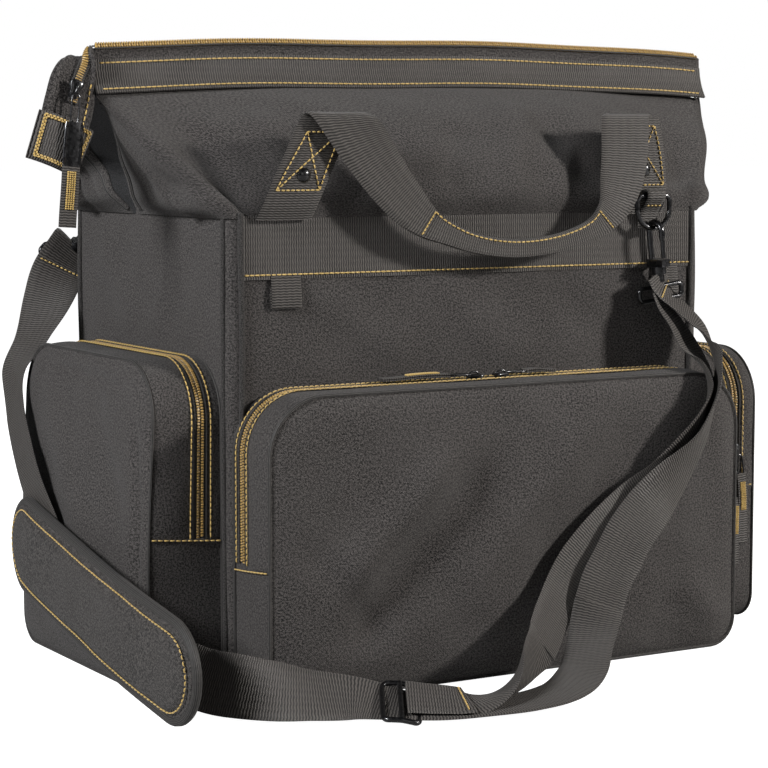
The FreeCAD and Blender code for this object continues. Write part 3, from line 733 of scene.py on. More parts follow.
def hood_sheet(sy):
    """Front (sy -1) or rear (sy 1) half of the hood with its wrap-round ends and inward pleats."""
    name = "front" if sy < 0 else "rear"
    y0 = sy * (HALF_D + 1.5)
    r = 12.0
    foot_x = HALF_W + 2.5
    ridge_y = RIDGE_Y + sy * 2.0
    edge = spline(PLEAT_EDGE[sy], n=36)
    ends = []
    for sx in (-1, 1):
        mirror = np.array([-sx, 1.0, 1.0])
        corner = hood_column((sx * foot_x, y0 - sy * r), (sx * 0.9, sy * 0.4),
                             (sx * RIDGE_HALF, ridge_y, 445), 0.0, 13)
        columns = []
        for k in np.linspace(1, 0, 20):
            line = corner * (1 - k) + edge * mirror * k
            belly = math.sin(math.pi * k) * np.sin(np.pi * np.linspace(0, 1, 36) ** 0.8)
            columns.append(line + belly[:, None] * np.array([sx * 9.0, sy * 2.0, -2.0]))
        for a in np.linspace(0, np.pi / 2, 6)[1:]:
            c, q = math.cos(a), math.sin(a)
            foot = (sx * (foot_x - r * (1 - c)), y0 - sy * r * (1 - q))
            top = (sx * (RIDGE_HALF - 5 * a), ridge_y, 445)
            columns.append(hood_column(foot, (sx * c * 0.8, sy * q), top, 0.06 * a, 15))
        ends.append(columns)
    middle = []
    span = foot_x - r
    for x in np.linspace(-span, span, 96)[1:-1]:
        top_x = x / span * (RIDGE_HALF - 9)
        full = float(smooth((span - abs(x)) / 125.0)) * 0.93 + 0.07
        middle.append(hood_column((x, y0), (0.0, sy), (top_x, ridge_y, 444 + ridge_rise(top_x)), full))
    p = np.array(ends[0] + middle + ends[1][::-1])

    # Soft folds fan out from the corners, and the cloth swells over the rim.
    feet = p[:, 0]
    run = lengths(feet)
    rise = np.linspace(0, 1, p.shape[1])
    s, t = lattice(run / run[-1], rise)
    normal = unit(np.cross(np.gradient(p, axis=0), np.gradient(p, axis=1))) * -sy
    across = (s - 0.5) * run[-1]
    height = t * 150
    uneven = 0.6 + 0.4 * np.sin(across / 21 + 1.2) * np.sin(across / 47)
    swell = 6.0 * np.exp(-((t - 0.12) / 0.085) ** 2) * uneven
    folds = sum(crease(across, height, a, b, w, hgt) for a, b, w, hgt in (
        ((-268, 0), (-262, 124), 4, -5.0), ((-256, 6), (-252, 120), 6, 3.5), ((-300, 20), (-270, 96), 6, -3.5),
        ((-196, 12), (-178, 104), 9, -4.5), ((-160, 20), (-128, 110), 13, 4.5), ((-118, 16), (-70, 84), 12, -4.0),
        ((262, 26), (246, 118), 7, 3.0), ((192, 12), (178, 104), 9, -2.5),
        ((165, 20), (128, 110), 13, 4.0), ((110, 18), (60, 96), 13, -3.6), ((20, 26), (48, 110), 15, 3.6),
        ((-30, 20), (-6, 84), 12, -2.8), ((70, 14), (84, 70), 9, 3.0)))
    p = p + normal * ((swell + folds) * smooth((0.97 - t) / 0.2) * smooth((t + 0.02) / 0.08)
                      + lumps(p, 46, 3.4, 1.7 + sy) * smooth((0.95 - t) / 0.2) * smooth(t / 0.2))[:, :, None]

    piece = Piece("hood_" + name)
    piece.grid(p, POLYESTER, thick=1.6, back=LINING, flip=sy > 0, cloth=joined(s * run[-1], t * 165, s * 0))

    # Pleat: from each end's bound edge in to a valley that stays with the bag. Its web is painted shade: the darker
    # lining cloth stands in for the deep shadow inside the pleat, whose real cloth is the outer polyester.
    k_valley = np.linspace(0, 1, p.shape[1])
    for sx, line, beside in ((-1, p[0], p[2]), (1, p[-1], p[-3])):
        valley = joined(sx * (HALF_W - 6 - 70 * k_valley), 15 - 30 * k_valley, 350 + 30 * k_valley)
        k = smooth(np.linspace(0, 1, 12))[:, None, None]
        web = line[None] * (1 - k) + valley[None] * k
        # painted shade: the darker lining on the pleat's web stands in for the shadow deep in the pleat
        piece.grid(web, LINING, thick=1.0, flip=(sx * sy) > 0)
        toward = unit(beside - line)
        hem = line + toward * 3.4 + np.array([sx * 0.9, 0, 0])
        piece.strip(hem[1:-3], toward[1:-3], 7.4, 1.6, POLYESTER, cupped=-0.8)
        piece.tube((line + toward * 8.6 + np.array([sx * 0.5, 0, 0]))[1:-4], 0.9, TAPE, sides=6)

    x, k = lattice(np.linspace(-RIDGE_HALF + 1, RIDGE_HALF - 1, 190), np.linspace(0, 1, 13))
    wavy = 1.5 * np.sin(x / 48.0) + 0.9 * np.sin(x / 21.0 + 1.0)
    z = BAND_FOOT + k * (BAND_TOP - BAND_FOOT) + ridge_rise(x) + 0.5 * np.sin(x / 33.0)
    y = RIDGE_Y + sy * (2.6 + 9.0 * (1 - k) ** 2.5) + wavy * 0.8
    band = joined(x, y, z)
    webbed = 10
    piece.grid(band[:, :webbed], WEBBING, thick=1.8, back=TAPE, flip=sy > 0,
               cloth=joined(z, x, x * 0)[:, :webbed])
    edge = band[:, webbed - 1:] - np.array([0, sy * 0.7, 0])
    piece.grid(edge, POLYESTER, thick=1.2, back=TAPE, flip=sy > 0)
    for row in (1, webbed - 2):
        piece.stitches(band[2:-2, row] + np.array([0, sy * 0.1, 0]), (0, sy, 0))
    piece.make("bag", "polyester", ["top_flap_" + name, "hood_skirt", "hood_gussets"],
               blend=("hood_" + name, (0, sy * 141, 388), (0, sy * 141, 444)))

    row = Piece("top_coil_" + name)
    path = band[1:-1, -1] + np.array([0, 0, 1.0])
    path[:, 1] = RIDGE_Y + sy * 1.5 + wavy[1:-1, -1] * 0.8
    path[:, 2] += 0.4 + sy * 0.9
    row.coil(path, (0, -0.6, 0.8), (0, -sy * 0.8, -sy * 0.6), reach=2.9, height=4.2, pitch=2.1,
             phase=0.25 if sy < 0 else 0.75)
    row.strip(path + np.array([0, sy * 1.2, -0.7]), (0, 1, 0), 3.0, 1.2, TAPE)
    row.make("hood_" + name, "yellow_coil", ["top_teeth_" + name])


# ---------------------------------------------------------------- outside pockets
def pocket_outline(width, height, foot=2.0, top_r=44.0, low_r=22.0, n=261):
    """Closed outline seen from outside, from the middle of the foot to the left, over the top and back."""
    half, points = width / 2, []
    low_x, top_x, low_z, top_z = half - low_r, half - top_r, foot + low_r, height - top_r
    for cx, cz, r, start in ((-low_x, low_z, low_r, -90), (-top_x, top_z, top_r, 180),
                             (top_x, top_z, top_r, 90), (low_x, low_z, low_r, 0)):
        for a in np.radians(start - np.linspace(0, 90, 16)):
            points.append((cx + r * math.cos(a), cz + r * math.sin(a), 0.0))
    points = [(0.0, foot, 0.0)] + points + [(0.0, foot, 0.0)]
    return even(np.array(points), n)[:, :2]


def pocket(side, width, height, depth, zip_at, zip_end, shift, crown, folds, lean=0.0):
    """Face, gusset and zip of one outside pocket. The zip runs round the upper part of the gusset."""
    line = pocket_outline(width, height)
    along = np.gradient(line, axis=0)
    normal = unit(joined(-along[:, 1], along[:, 0]))
    high = np.where(line[:, 1] >= zip_end)[0]
    first, last = high[0], high[-1] + 1
    mid_z = height * 0.45

    def square(nrm_h, nrm_z):
        """The gusset's own normal, for the outline's normal."""
        return unit(where(nrm_h, 0, nrm_z) - where(nrm_h * 0.0, 0, nrm_z * 0.0))

    def where(h, d, z):
        return at(side, h + shift, d, z)

    def edge_depth(z):
        return depth - lean * smooth((z - height * 0.35) / (height * 0.65))

    body = Piece(side + "_pocket")
    hinge = where(np.array(0.0), depth, np.array(zip_end + 0.2))

    # Face: rings from the seam to the middle, crowned like a pillow.
    k = np.linspace(0, 1, 46) ** 0.8
    q = 1 - k
    h = line[:, None, 0] * q[None]
    z = mid_z + (line[:, None, 1] - mid_z) * q[None]
    r = q[None] + h * 0
    puff = crown * (1 - r ** 4) ** 0.62 + 2.2 * (1 - r ** 14)
    belly = 1 + 0.28 * smooth((height * 0.62 - z) / (height * 0.5))
    d = edge_depth(z) - 1.4 + puff * belly
    inside = smooth((1 - r) / 0.1)
    for start, end, w, hgt in folds:
        d = d + crease(h, z, start, end, w, hgt) * inside
    face = where(h, d, z)
    face = where(h, d + lumps(face, 34, 1.5, 5.3) * inside + lumps(face, 90, 3.0, 2.3) * inside, z)
    body.grid(face, POLYESTER, thick=1.6, back=LINING, flip=True, cloth=joined(h, z, h * 0))

    # Gusset: strips of the outline between two depths.
    def strip(target, rows, d0, d1, bulge=1.6, wave=0.8):
        o, nrm = line[rows], normal[rows]
        dd = np.linspace(0, 1, max(5, int(abs(d1 - d0) / 3)))
        depth_here = edge_depth(o[:, 1])[:, None] / depth
        dist = (d0 + (d1 - d0) * dd[None]) * depth_here
        ripple = wave * np.sin(np.arange(len(o)) / 4.1 + 2.0)[:, None]
        off = (bulge + ripple) * np.sin(np.pi * dd)[None]
        z = np.maximum(o[:, None, 1] + nrm[:, None, 1] * off, 0.8)
        p = where(o[:, None, 0] + nrm[:, None, 0] * off, dist, z)
        target.grid(p, POLYESTER, thick=1.6, back=LINING, flip=True)

    whole = np.arange(len(line))
    low_a, low_b = whole[:first + 1], whole[last - 1:]
    upper = whole[first:last]
    for rows in (low_a, low_b):
        strip(body, rows, 0.0, depth)
    strip(body, upper, zip_at + 5.0, depth, bulge=1.8)
    inner = Piece(side + "_gusset_inner")
    strip(inner, upper, 0.0, zip_at - 5.0, bulge=1.0, wave=0.5)

    def run(d0, off=0.0, rows=upper):
        o, nrm = line[rows], normal[rows]
        scale = edge_depth(o[:, 1]) / depth
        path = where(o[:, 0] + nrm[:, 0] * off, d0 * scale, o[:, 1] + nrm[:, 1] * off)
        return path, square(nrm[:, 0], nrm[:, 1])

    # Zip tapes, coil and the stitching on both sides of it.
    out_way = np.array(OUT[side], float)
    for target, sign in ((body, 1), (inner, -1)):
        tape, _ = run(zip_at + sign * 4.2, -0.6)
        target.strip(tape, out_way, 7.0, 0.8, TAPE)
        edge, _ = run(zip_at + sign * 5.4, 0.7)
        target.tube(edge, 0.9, PIPING, sides=6)
        stitch, up = run(zip_at + sign * 8.4, 1.35)
        target.stitches(stitch, up)
    for name, sign, phase in (("lid_coil", 1, 0.25), ("fixed_coil", -1, 0.75)):
        piece = Piece(side + "_" + name)
        path, up = run(zip_at + sign * 1.65, 0.6)
        piece.coil(path, up, out_way * -sign, reach=2.3, height=2.0, pitch=2.1, phase=phase)
        if sign > 0:
            piece.make("bag", "yellow_coil", [side + "_lid_teeth"],
                       blend=(side + "_lid", hinge_start(hinge), hinge_end(hinge)))
        else:
            piece.make("bag", "yellow_coil", ["pocket_teeth"])

    # Raised seam round the face, and a row of stitches across the gusset below each zip end.
    ring, _ = run(depth - 0.6, 0.2, whole)
    body.tube(ring, 1.2, TAPE)
    seam, _ = run(0.8, 0.6, whole)
    inner.tube(seam, 1.3, TAPE)
    for index in (first - 2, last + 1):
        o, nrm = line[index], normal[index]
        dd = np.linspace(2, depth - 3, 12)
        path = where(o[0] + nrm[0] * (1.1 + 1.7 * np.sin(np.pi * dd / depth)), dd, o[1] + 4 + dd / depth * 5)
        body.stitches(path, square(nrm[0], nrm[1]))
    body.make("bag", "polyester", [side + "_pocket_tray", side + "_pocket_lid"],
              blend=(side + "_lid", hinge_start(hinge), hinge_end(hinge)))
    inner.make("bag", "polyester", [side + "_pocket_gusset"])


def hinge_start(hinge):
    return (hinge[0], hinge[1], hinge[2] - 10)


def hinge_end(hinge):
    return (hinge[0], hinge[1], hinge[2] + 14)


walls()
corners()
base()
bands()
organiser()
hood_sheet(-1)
hood_sheet(1)
pocket("front", 424, 224, 56, 14, 95, 0, 7.0, [
    ((-60, 180), (-170, 70), 18, 7.0), ((-20, 170), (-150, 40), 17, -7.0), ((60, 190), (-60, 60), 20, 6.0),
    ((110, 180), (10, 60), 18, -4.5), ((-190, 120), (-120, 40), 13, -4.0), ((150, 60), (200, 20), 14, 4.0)])
pocket("left", 242, 246, 61, 19, 115, 5, 6.0, [
    ((-60, 215), (30, 90), 22, 4.5), ((20, 220), (80, 120), 18, -3.5), ((-90, 120), (-20, 30), 18, 3.0),
    ((101, 196), (106, 70), 4.5, -5.0), ((-96, 234), (80, 226), 4.5, -4.0)], lean=6)
pocket("right", 242, 232, 74, 52, 115, -5, 6.0, [
    ((-60, 205), (30, 90), 22, 4.5), ((20, 210), (80, 120), 18, -3.5), ((-90, 120), (-20, 30), 18, 3.0)])


# ---------------------------------------------------------------- webbing, handles and strap
def on_strip(data, thick, u, v, side=1):
    """Points on a tape's face: u from its centre line, v along it, and the face's normal."""
    centres, across, out = data
    t = lengths(centres)
    u, v = np.broadcast_arrays(np.asarray(u, float), np.asarray(v, float))
    rows = np.stack([np.interp(v, t, m[:, c]) for m in (centres, across, out) for c in range(3)], axis=-1)
    normal = unit(rows[..., 6:]) * side
    return rows[..., :3] + rows[..., 3:6] * u[..., None] + normal * (thick / 2), normal


def sew(piece, data, thick, corners, side=1, **kw):
    """Stitches along straight runs between (u, v) corners on a tape's face."""
    for (u0, v0), (u1, v1) in zip(corners[:-1], corners[1:]):
        n = max(2, int(math.hypot(u1 - u0, v1 - v0) / 2))
        path, normal = on_strip(data, thick, np.linspace(u0, u1, n), np.linspace(v0, v1, n), side)
        piece.stitches(path, normal, **kw)


def bartack(piece, data, thick, v0, v1, half, side=1):
    """Dense block of yellow satin stitch lying along the tape."""
    for u in np.linspace(-half, half, 4):
        path, normal = on_strip(data, thick, np.full(8, u), np.linspace(v0, v1, 8), side)
        piece.stitches(path, normal, pitch=1.5, length=1.45, radius=0.75, lift=0.3)


def turned(p):
    """The same place on the bag's opposite face."""
    return np.asarray(p, float) * np.array([-1.0, -1.0, 1.0])


def handle(name, flip):
    """One carry handle: two sewn anchors with rivets, and the webbing that hangs between them."""
    place = turned if flip else (lambda p: np.asarray(p, float))
    anchors = Piece("anchors_" + name)
    rivets = Piece("rivets_" + name)
    for points, wide in ((((-173, -146.5, 350), (-169, -151, 362), (-160, -153.5, 384), (-150, -154.0, 404),
                           (-141, -153.0, 421), (-138, -153.0, 426.5)), 46),
                         (((152, -146.5, 350), (151, -151, 362), (149, -153.5, 384), (146, -154.0, 404),
                           (143, -153.0, 421), (142, -153.0, 426.5)), 44)):
        centres = spline(place(points), step=2.0)
        across = unit(place((1.0, 0.0, 0.0)))
        data = anchors.strip(centres, across, wide, 2.3, WEBBING, cupped=0.6, skewed=True)
        box = [(-18, 24), (18, 24), (15, 71), (-13, 71), (-18, 24), (15, 71)]
        facing = 1 if np.dot(data[2][10], place((0, -1, 0))) > 0 else -1
        sew(anchors, data, 2.6, box, facing, pitch=4.0, length=3.1)
        sew(anchors, data, 2.6, [(18, 24), (-13, 71)], facing, pitch=4.0, length=3.2)
        spot, normal = on_strip(data, 2.6, 0.0, 36.0, facing)
        turn = np.linspace(0, 2 * np.pi, 20, endpoint=False)
        side = unit(np.cross(normal, (0, 0, 1)))
        up = np.cross(side, normal)
        dome = [(5.4, -0.4), (5.6, 0.5), (5.0, 1.2), (4.0, 1.9), (2.8, 2.5), (1.4, 2.9), (0.02, 3.0)]
        p = np.array([[spot + (math.cos(a) * side + math.sin(a) * up) * r + normal * d for r, d in dome]
                      for a in turn])
        rivets.grid(p, METAL, closed=True, flip=False)
    anchors.make("bag", "webbing", ["handle_anchors"])
    rivets.make("bag", "black_metal", ["handle_rivets"])

    stations = [  # centre, across, width, thickness
        (-138, -153.0, 426.5, 1, 0, 0.0, 46, 2.3), (-134, -157.5, 427.5, 1, 0, 0.0, 50, 2.3),
        (-128, -161.0, 423, 1, 0, 0.05, 52, 2.3), (-120, -162.5, 412, 0.97, 0, 0.2, 48, 2.3),
        (-107, -163.5, 394, 0.85, 0, 0.45, 42, 2.3), (-92, -164.5, 375, 0.78, 0, 0.6, 38, 2.6),
        (-76, -165, 358, 0.72, 0, 0.75, 33, 3.4), (-61, -166, 346, 0.6, 0, 0.85, 25, 4.8),
        (-45, -167, 338.5, 0.42, 0, 1, 18.5, 6.0), (-22, -168, 330.5, 0.28, 0, 1, 15.5, 6.6),
        (8, -168.5, 326, 0.06, 0, 1, 14.5, 6.8), (38, -168, 326.5, -0.1, 0, 1, 14.5, 6.8),
        (68, -167, 331.5, -0.25, 0, 1, 15, 6.6), (92, -166, 339.5, -0.5, 0, 1, 18, 5.8),
        (106, -165, 349, -0.85, 0, 0.7, 25, 4.4), (115, -164, 361, -1, 0, 0.35, 34, 3.0),
        (120, -163.5, 377, -1, 0, 0.12, 42, 2.4), (123, -163, 396, -1, 0, 0.05, 45, 2.3),
        (124, -162, 414, -1, 0, 0.0, 46, 2.3), (126, -159.5, 425.5, -1, 0, 0.0, 46, 2.3),
        (131, -155.5, 428.0, -1, 0, 0.0, 46, 2.3), (136, -152.5, 426.5, -1, 0, 0.0, 45, 2.3)]
    rows = spline(stations, step=2.6)
    centres, across = place(rows[:, :3]), place(rows[:, 3:6])
    piece = Piece("handle_" + name + "_webbing")
    data = piece.strip(centres, across, rows[:, 6], rows[:, 7], WEBBING, cupped=0.5, skewed=True)
    t = lengths(centres)
    from_left = np.linalg.norm(rows[:, :3] - np.array([-62, -166, 347]), axis=1).argmin()
    from_right = np.linalg.norm(rows[:, :3] - np.array([103, -165, 347]), axis=1).argmin()
    facing = 1 if np.dot(data[2][(from_left + from_right) // 2], place((0, -1, 0))) > 0 else -1
    v = t[from_left:from_right]
    half = rows[from_left:from_right, 6] / 2 - 2.4
    thick = rows[from_left:from_right, 7]
    path, normal = on_strip(data, 0.0, half, v, facing)
    path = path + normal * (thick / 2 * 0.96)[:, None]
    piece.stitches(path, normal, pitch=4.2, length=3.3)
    for index in (from_left, from_right):
        w = rows[index, 6] / 2 - 2
        path, normal = on_strip(data, rows[index, 7], np.linspace(-w, w, 8), np.full(8, t[index]), facing)
        piece.stitches(path, normal, pitch=3.0, length=2.7)
    piece.make("bag", "webbing", ["handle_" + name],
               blend=("handle_" + name, place((0, -153.0, 428)), place((0, -159.5, 421))))


def ring_keepers():
    """Short folded loops of webbing round the D-rings' bars."""
    piece = Piece("ring_loops")
    for x, sy in ((158, -1), (-176, 1)):
        y = sy * 155
        turn = ((-8, 338), (-8.5, 350), (-7, 360), (-3.4, 367), (0, 368.6), (3.6, 367), (4.2, 363), (1.0, 358.5),
                (-4.5, 352), (-7.0, 344))
        path = spline([(x, y + sy * b, z) for b, z in turn], step=1.4)
        piece.strip(path, (1, 0, 0), 18.0, 1.8, WEBBING, cupped=0.2)
        row = [(x + h, y + sy * 0.2, 356.0) for h in np.linspace(-7, 7, 8)]
        piece.stitches(row, (0, sy, 0.4), pitch=3.2, length=2.6)
    piece.make("bag", "webbing", ["ring_keepers"])


# The strap's stations: centre, across, width. Its front run is on edge beside the pocket and opens out below.
STRAP_FRONT = [
    (160, -158, 301, 0.86, 0.3, 0.12, 28), (164, -158.5, 292, 0.75, 0.4, 0.12, 30),
    (172, -160, 282, 0.68, 0.6, 0.15, 33), (183, -165, 271, 0.7, 0.69, 0.15, 37),
    (193, -172, 259, 0.66, 0.74, 0.13, 38), (196, -180, 247, 0.58, 0.8, 0.05, 38),
    (195, -190, 235, 0.54, 0.84, -0.02, 38), (188, -202, 225, 0.5, 0.86, -0.1, 38),
    (179, -213, 209, 0.55, 0.82, -0.15, 38), (168, -218, 189, 0.66, 0.72, -0.18, 38),
    (157, -219, 171, 0.74, 0.6, -0.28, 38), (140, -220, 154, 0.8, 0.35, -0.42, 38),
    (119, -223, 138, 0.8, 0, -0.47, 38), (101, -225, 122, 0.74, -0.4, -0.48, 38),
    (84, -227, 105, 0.75, -0.48, -0.45, 38), (72, -229, 89, 0.75, -0.5, -0.43, 38),
    (60, -231, 73, 0.78, -0.5, -0.38, 38), (51, -234, 56, 0.8, -0.52, -0.3, 38),
]
INNER_FRONT = [
    (160, -158, 287, 0.6, 0.5, 0.1, 24), (164, -161.5, 276, 0.7, 0.6, 0.12, 32),
    (171, -168, 263, 0.75, 0.65, 0.14, 37), (178, -175, 247, 0.78, 0.6, 0.18, 38),
    (183, -183, 235, 0.73, 0.68, 0.07, 38), (183, -194, 224, 0.66, 0.74, -0.1, 38),
    (176, -207, 208, 0.55, 0.83, -0.12, 38), (165, -214, 193, 0.6, 0.7, -0.3, 38),
    (149, -215, 170, 0.7, 0.4, -0.45, 38), (127, -214, 143, 0.78, -0.05, -0.5, 38),
    (98, -214, 126, 0.78, -0.2, -0.5, 38), (71, -214, 107, 0.8, -0.2, -0.48, 38),
    (47, -214, 85, 0.82, -0.15, -0.46, 38), (31, -217, 67, 0.82, -0.05, -0.5, 38),
    (14, -225, 50, 0.8, 0.1, -0.52, 38), (-6, -240, 33, 0.68, 0.1, -0.65, 38),
]
STRAP_FLOOR = [
    (51, -234, 56, 0.8, -0.52, -0.3, 38), (42, -240, 40, 0.5, -0.8, -0.2, 38),
    (28, -253, 27, 0.2, -0.95, -0.15, 38), (9, -272, 16, -0.05, -0.97, -0.2, 38),
    (-20, -290, 9, -0.25, -0.95, -0.15, 38), (-56, -296, 6.4, -0.15, -0.98, -0.1, 38),
    (-90, -293, 6, -0.1, -1, -0.1, 38), (-122, -283, 7, -0.35, -0.93, -0.2, 40),
    (-147, -268, 9.5, -0.45, -0.85, -0.3, 43), (-173, -248, 13.5, -0.44, -0.76, -0.48, 46),
    (-203, -239, 17.5, -0.37, -0.7, -0.6, 47), (-227, -229, 21, -0.3, -0.56, -0.78, 47),
    (-246, -214, 23.5, -0.25, -0.5, -0.84, 47), (-261, -186, 25, -0.2, -0.4, -0.9, 45),
    (-274, -164, 33, -0.1, -0.2, -1, 42), (-285, -140, 46, 0, -0.1, -1, 38),
]
INNER_FLOOR = [
    (-6, -240, 33, 0.68, 0.1, -0.65, 38), (-20, -248, 27, 0.48, 0.25, -0.82, 38),
    (-36, -259, 21, 0.36, 0.45, -0.78, 38), (-54, -271, 15.5, 0.3, 0.75, -0.5, 38),
    (-78, -283, 11, 0.27, 0.95, -0.1, 38), (-100, -286, 9.5, 0.3, 0.95, 0.25, 38),
    (-122, -277, 11, 0.4, 0.87, 0.35, 39), (-141, -268, 13, 0.45, 0.8, 0.38, 40),
]
STRAP_REAR = [
    (-214, 151.5, 321, 0.68, -0.05, -0.7, 40), (-223, 151.2, 309, 0.68, -0.05, -0.7, 42),
    (-230, 150, 296, 0.6, -0.4, -0.6, 43), (-238, 145, 281, 0.48, -0.7, -0.5, 43),
    (-248, 138, 264, 0.3, -0.88, -0.35, 43), (-260, 131, 246, 0.15, -0.95, -0.2, 41),
    (-279, 120, 222, 0, -0.98, -0.1, 40), (-286, 104, 192, -0.05, -1, 0.1, 40), (-291, 73, 157, 0, -0.88, 0.45, 40),
    (-292, 49, 130, 0, -0.72, 0.68, 40), (-291, 28, 109, 0, -0.6, 0.8, 40), (-290.5, 5, 89, 0, -0.3, 0.95, 40),
    (-290, -40, 70, 0, -0.19, 0.98, 38), (-289, -105, 58, 0, -0.19, 0.98, 38), (-286, -135, 49, 0, -0.1, 1, 38),
]


def strap():
    rows = spline(STRAP_FRONT, step=3.0)
    piece = Piece("strap_front_run")
    data = piece.strip(rows[:, :3], rows[:, 3:6], rows[:, 6], 2.0, WEBBING, cupped=1.0)
    inner = spline(INNER_FRONT, step=3.0)
    piece.strip(inner[:, :3], inner[:, 3:6], inner[:, 6], 2.0, WEBBING, cupped=0.6)
    facing = 1 if data[2][len(rows) // 2][1] < 0 else -1
    sew(piece, data, 2.2, [(-14, 14), (14, 14)], facing, pitch=3.4, length=2.8)
    piece.make("bag", "webbing", ["strap_front"], blend=("strap_front", (51, -234, 56), (135, -219, 140)))

    rows = spline(STRAP_FLOOR, step=3.0)
    piece = Piece("strap_floor_run")
    data = piece.strip(rows[:, :3], rows[:, 3:6], rows[:, 6], 2.0, WEBBING, cupped=0.4)
    inner = spline(INNER_FLOOR, step=3.0)
    piece.strip(inner[:, :3], inner[:, 3:6], inner[:, 6], 2.0, WEBBING, cupped=0.4)
    # The folded end that holds the adjuster's middle bar.
    near = [i for i in range(len(inner)) if inner[i, 0] <= -98]
    fold = inner[near, :3] + np.array([-1.0, -2.4, 2.4])
    flap = piece.strip(fold, inner[near, 3:6], 38.0, 2.2, WEBBING)
    facing = 1 if flap[2][1][2] > 0 else -1
    sew(piece, flap, 2.4, [(-16, 4), (16, 4)], facing, pitch=2.8, length=2.6)
    piece.make("bag", "webbing", ["strap_floor"], blend=("strap_rear", (-240, -222, 22), (-268, -172, 30)))

    rows = spline(STRAP_REAR, step=3.0)
    piece = Piece("strap_rear_run")
    data = piece.strip(rows[:, :3], rows[:, 3:6], rows[:, 6], 2.0, WEBBING, cupped=0.8)
    # The end is turned round the eye behind the face and sewn down with one row.
    bar_way = unit((1, 0, -1))
    turn = np.array([(-213.5, 153.0, 322.0), (-212.5, 155.5, 323.2), (-213.5, 158.0, 322.0), (-221, 158.8, 312),
                     (-228, 158.6, 303)], float)
    piece.strip(spline(turn, step=2.0), bar_way, 36.0, 1.8, WEBBING)
    facing = 1 if data[2][6][1] < 0 else -1
    sew(piece, data, 2.2, [(-18, 22), (18, 22)], facing, pitch=3.6, length=3.0)
    piece.make("strap_rear", "webbing", ["strap_rear"])


def adjuster():
    """Three-bar slide: a bent wire frame with a fixed middle bar, lying low at the bend of the strap."""
    piece = Piece("strap_adjuster")
    centre = np.array([-147.0, -270.0, 11.0])
    along, across = unit((-0.84, 0.5, 0.12)), unit((0.45, 0.82, 0.32))
    up = np.cross(along, across)
    up = up * np.sign(up[2])
    half_a, half_b = 13.0, 24.0
    frame_line = []
    for t in np.linspace(0, 2 * np.pi, 56, endpoint=False):
        c, q = math.cos(t), math.sin(t)
        a = np.sign(c) * abs(c) ** 0.28 * half_a
        b = np.sign(q) * abs(q) ** 0.28 * half_b
        frame_line.append(centre + along * a + across * b + up * (1.6 - 2.2 * (abs(a) / half_a) ** 2))
    piece.tube(np.array(frame_line), 2.0, METAL, closed=True, sides=12)
    bar = np.array([centre + across * b + up * 2.4 for b in np.linspace(-half_b, half_b, 24)])
    piece.tube(bar, 1.9, METAL, sides=12)
    piece.make("triglide", "black_metal", ["triglide"])


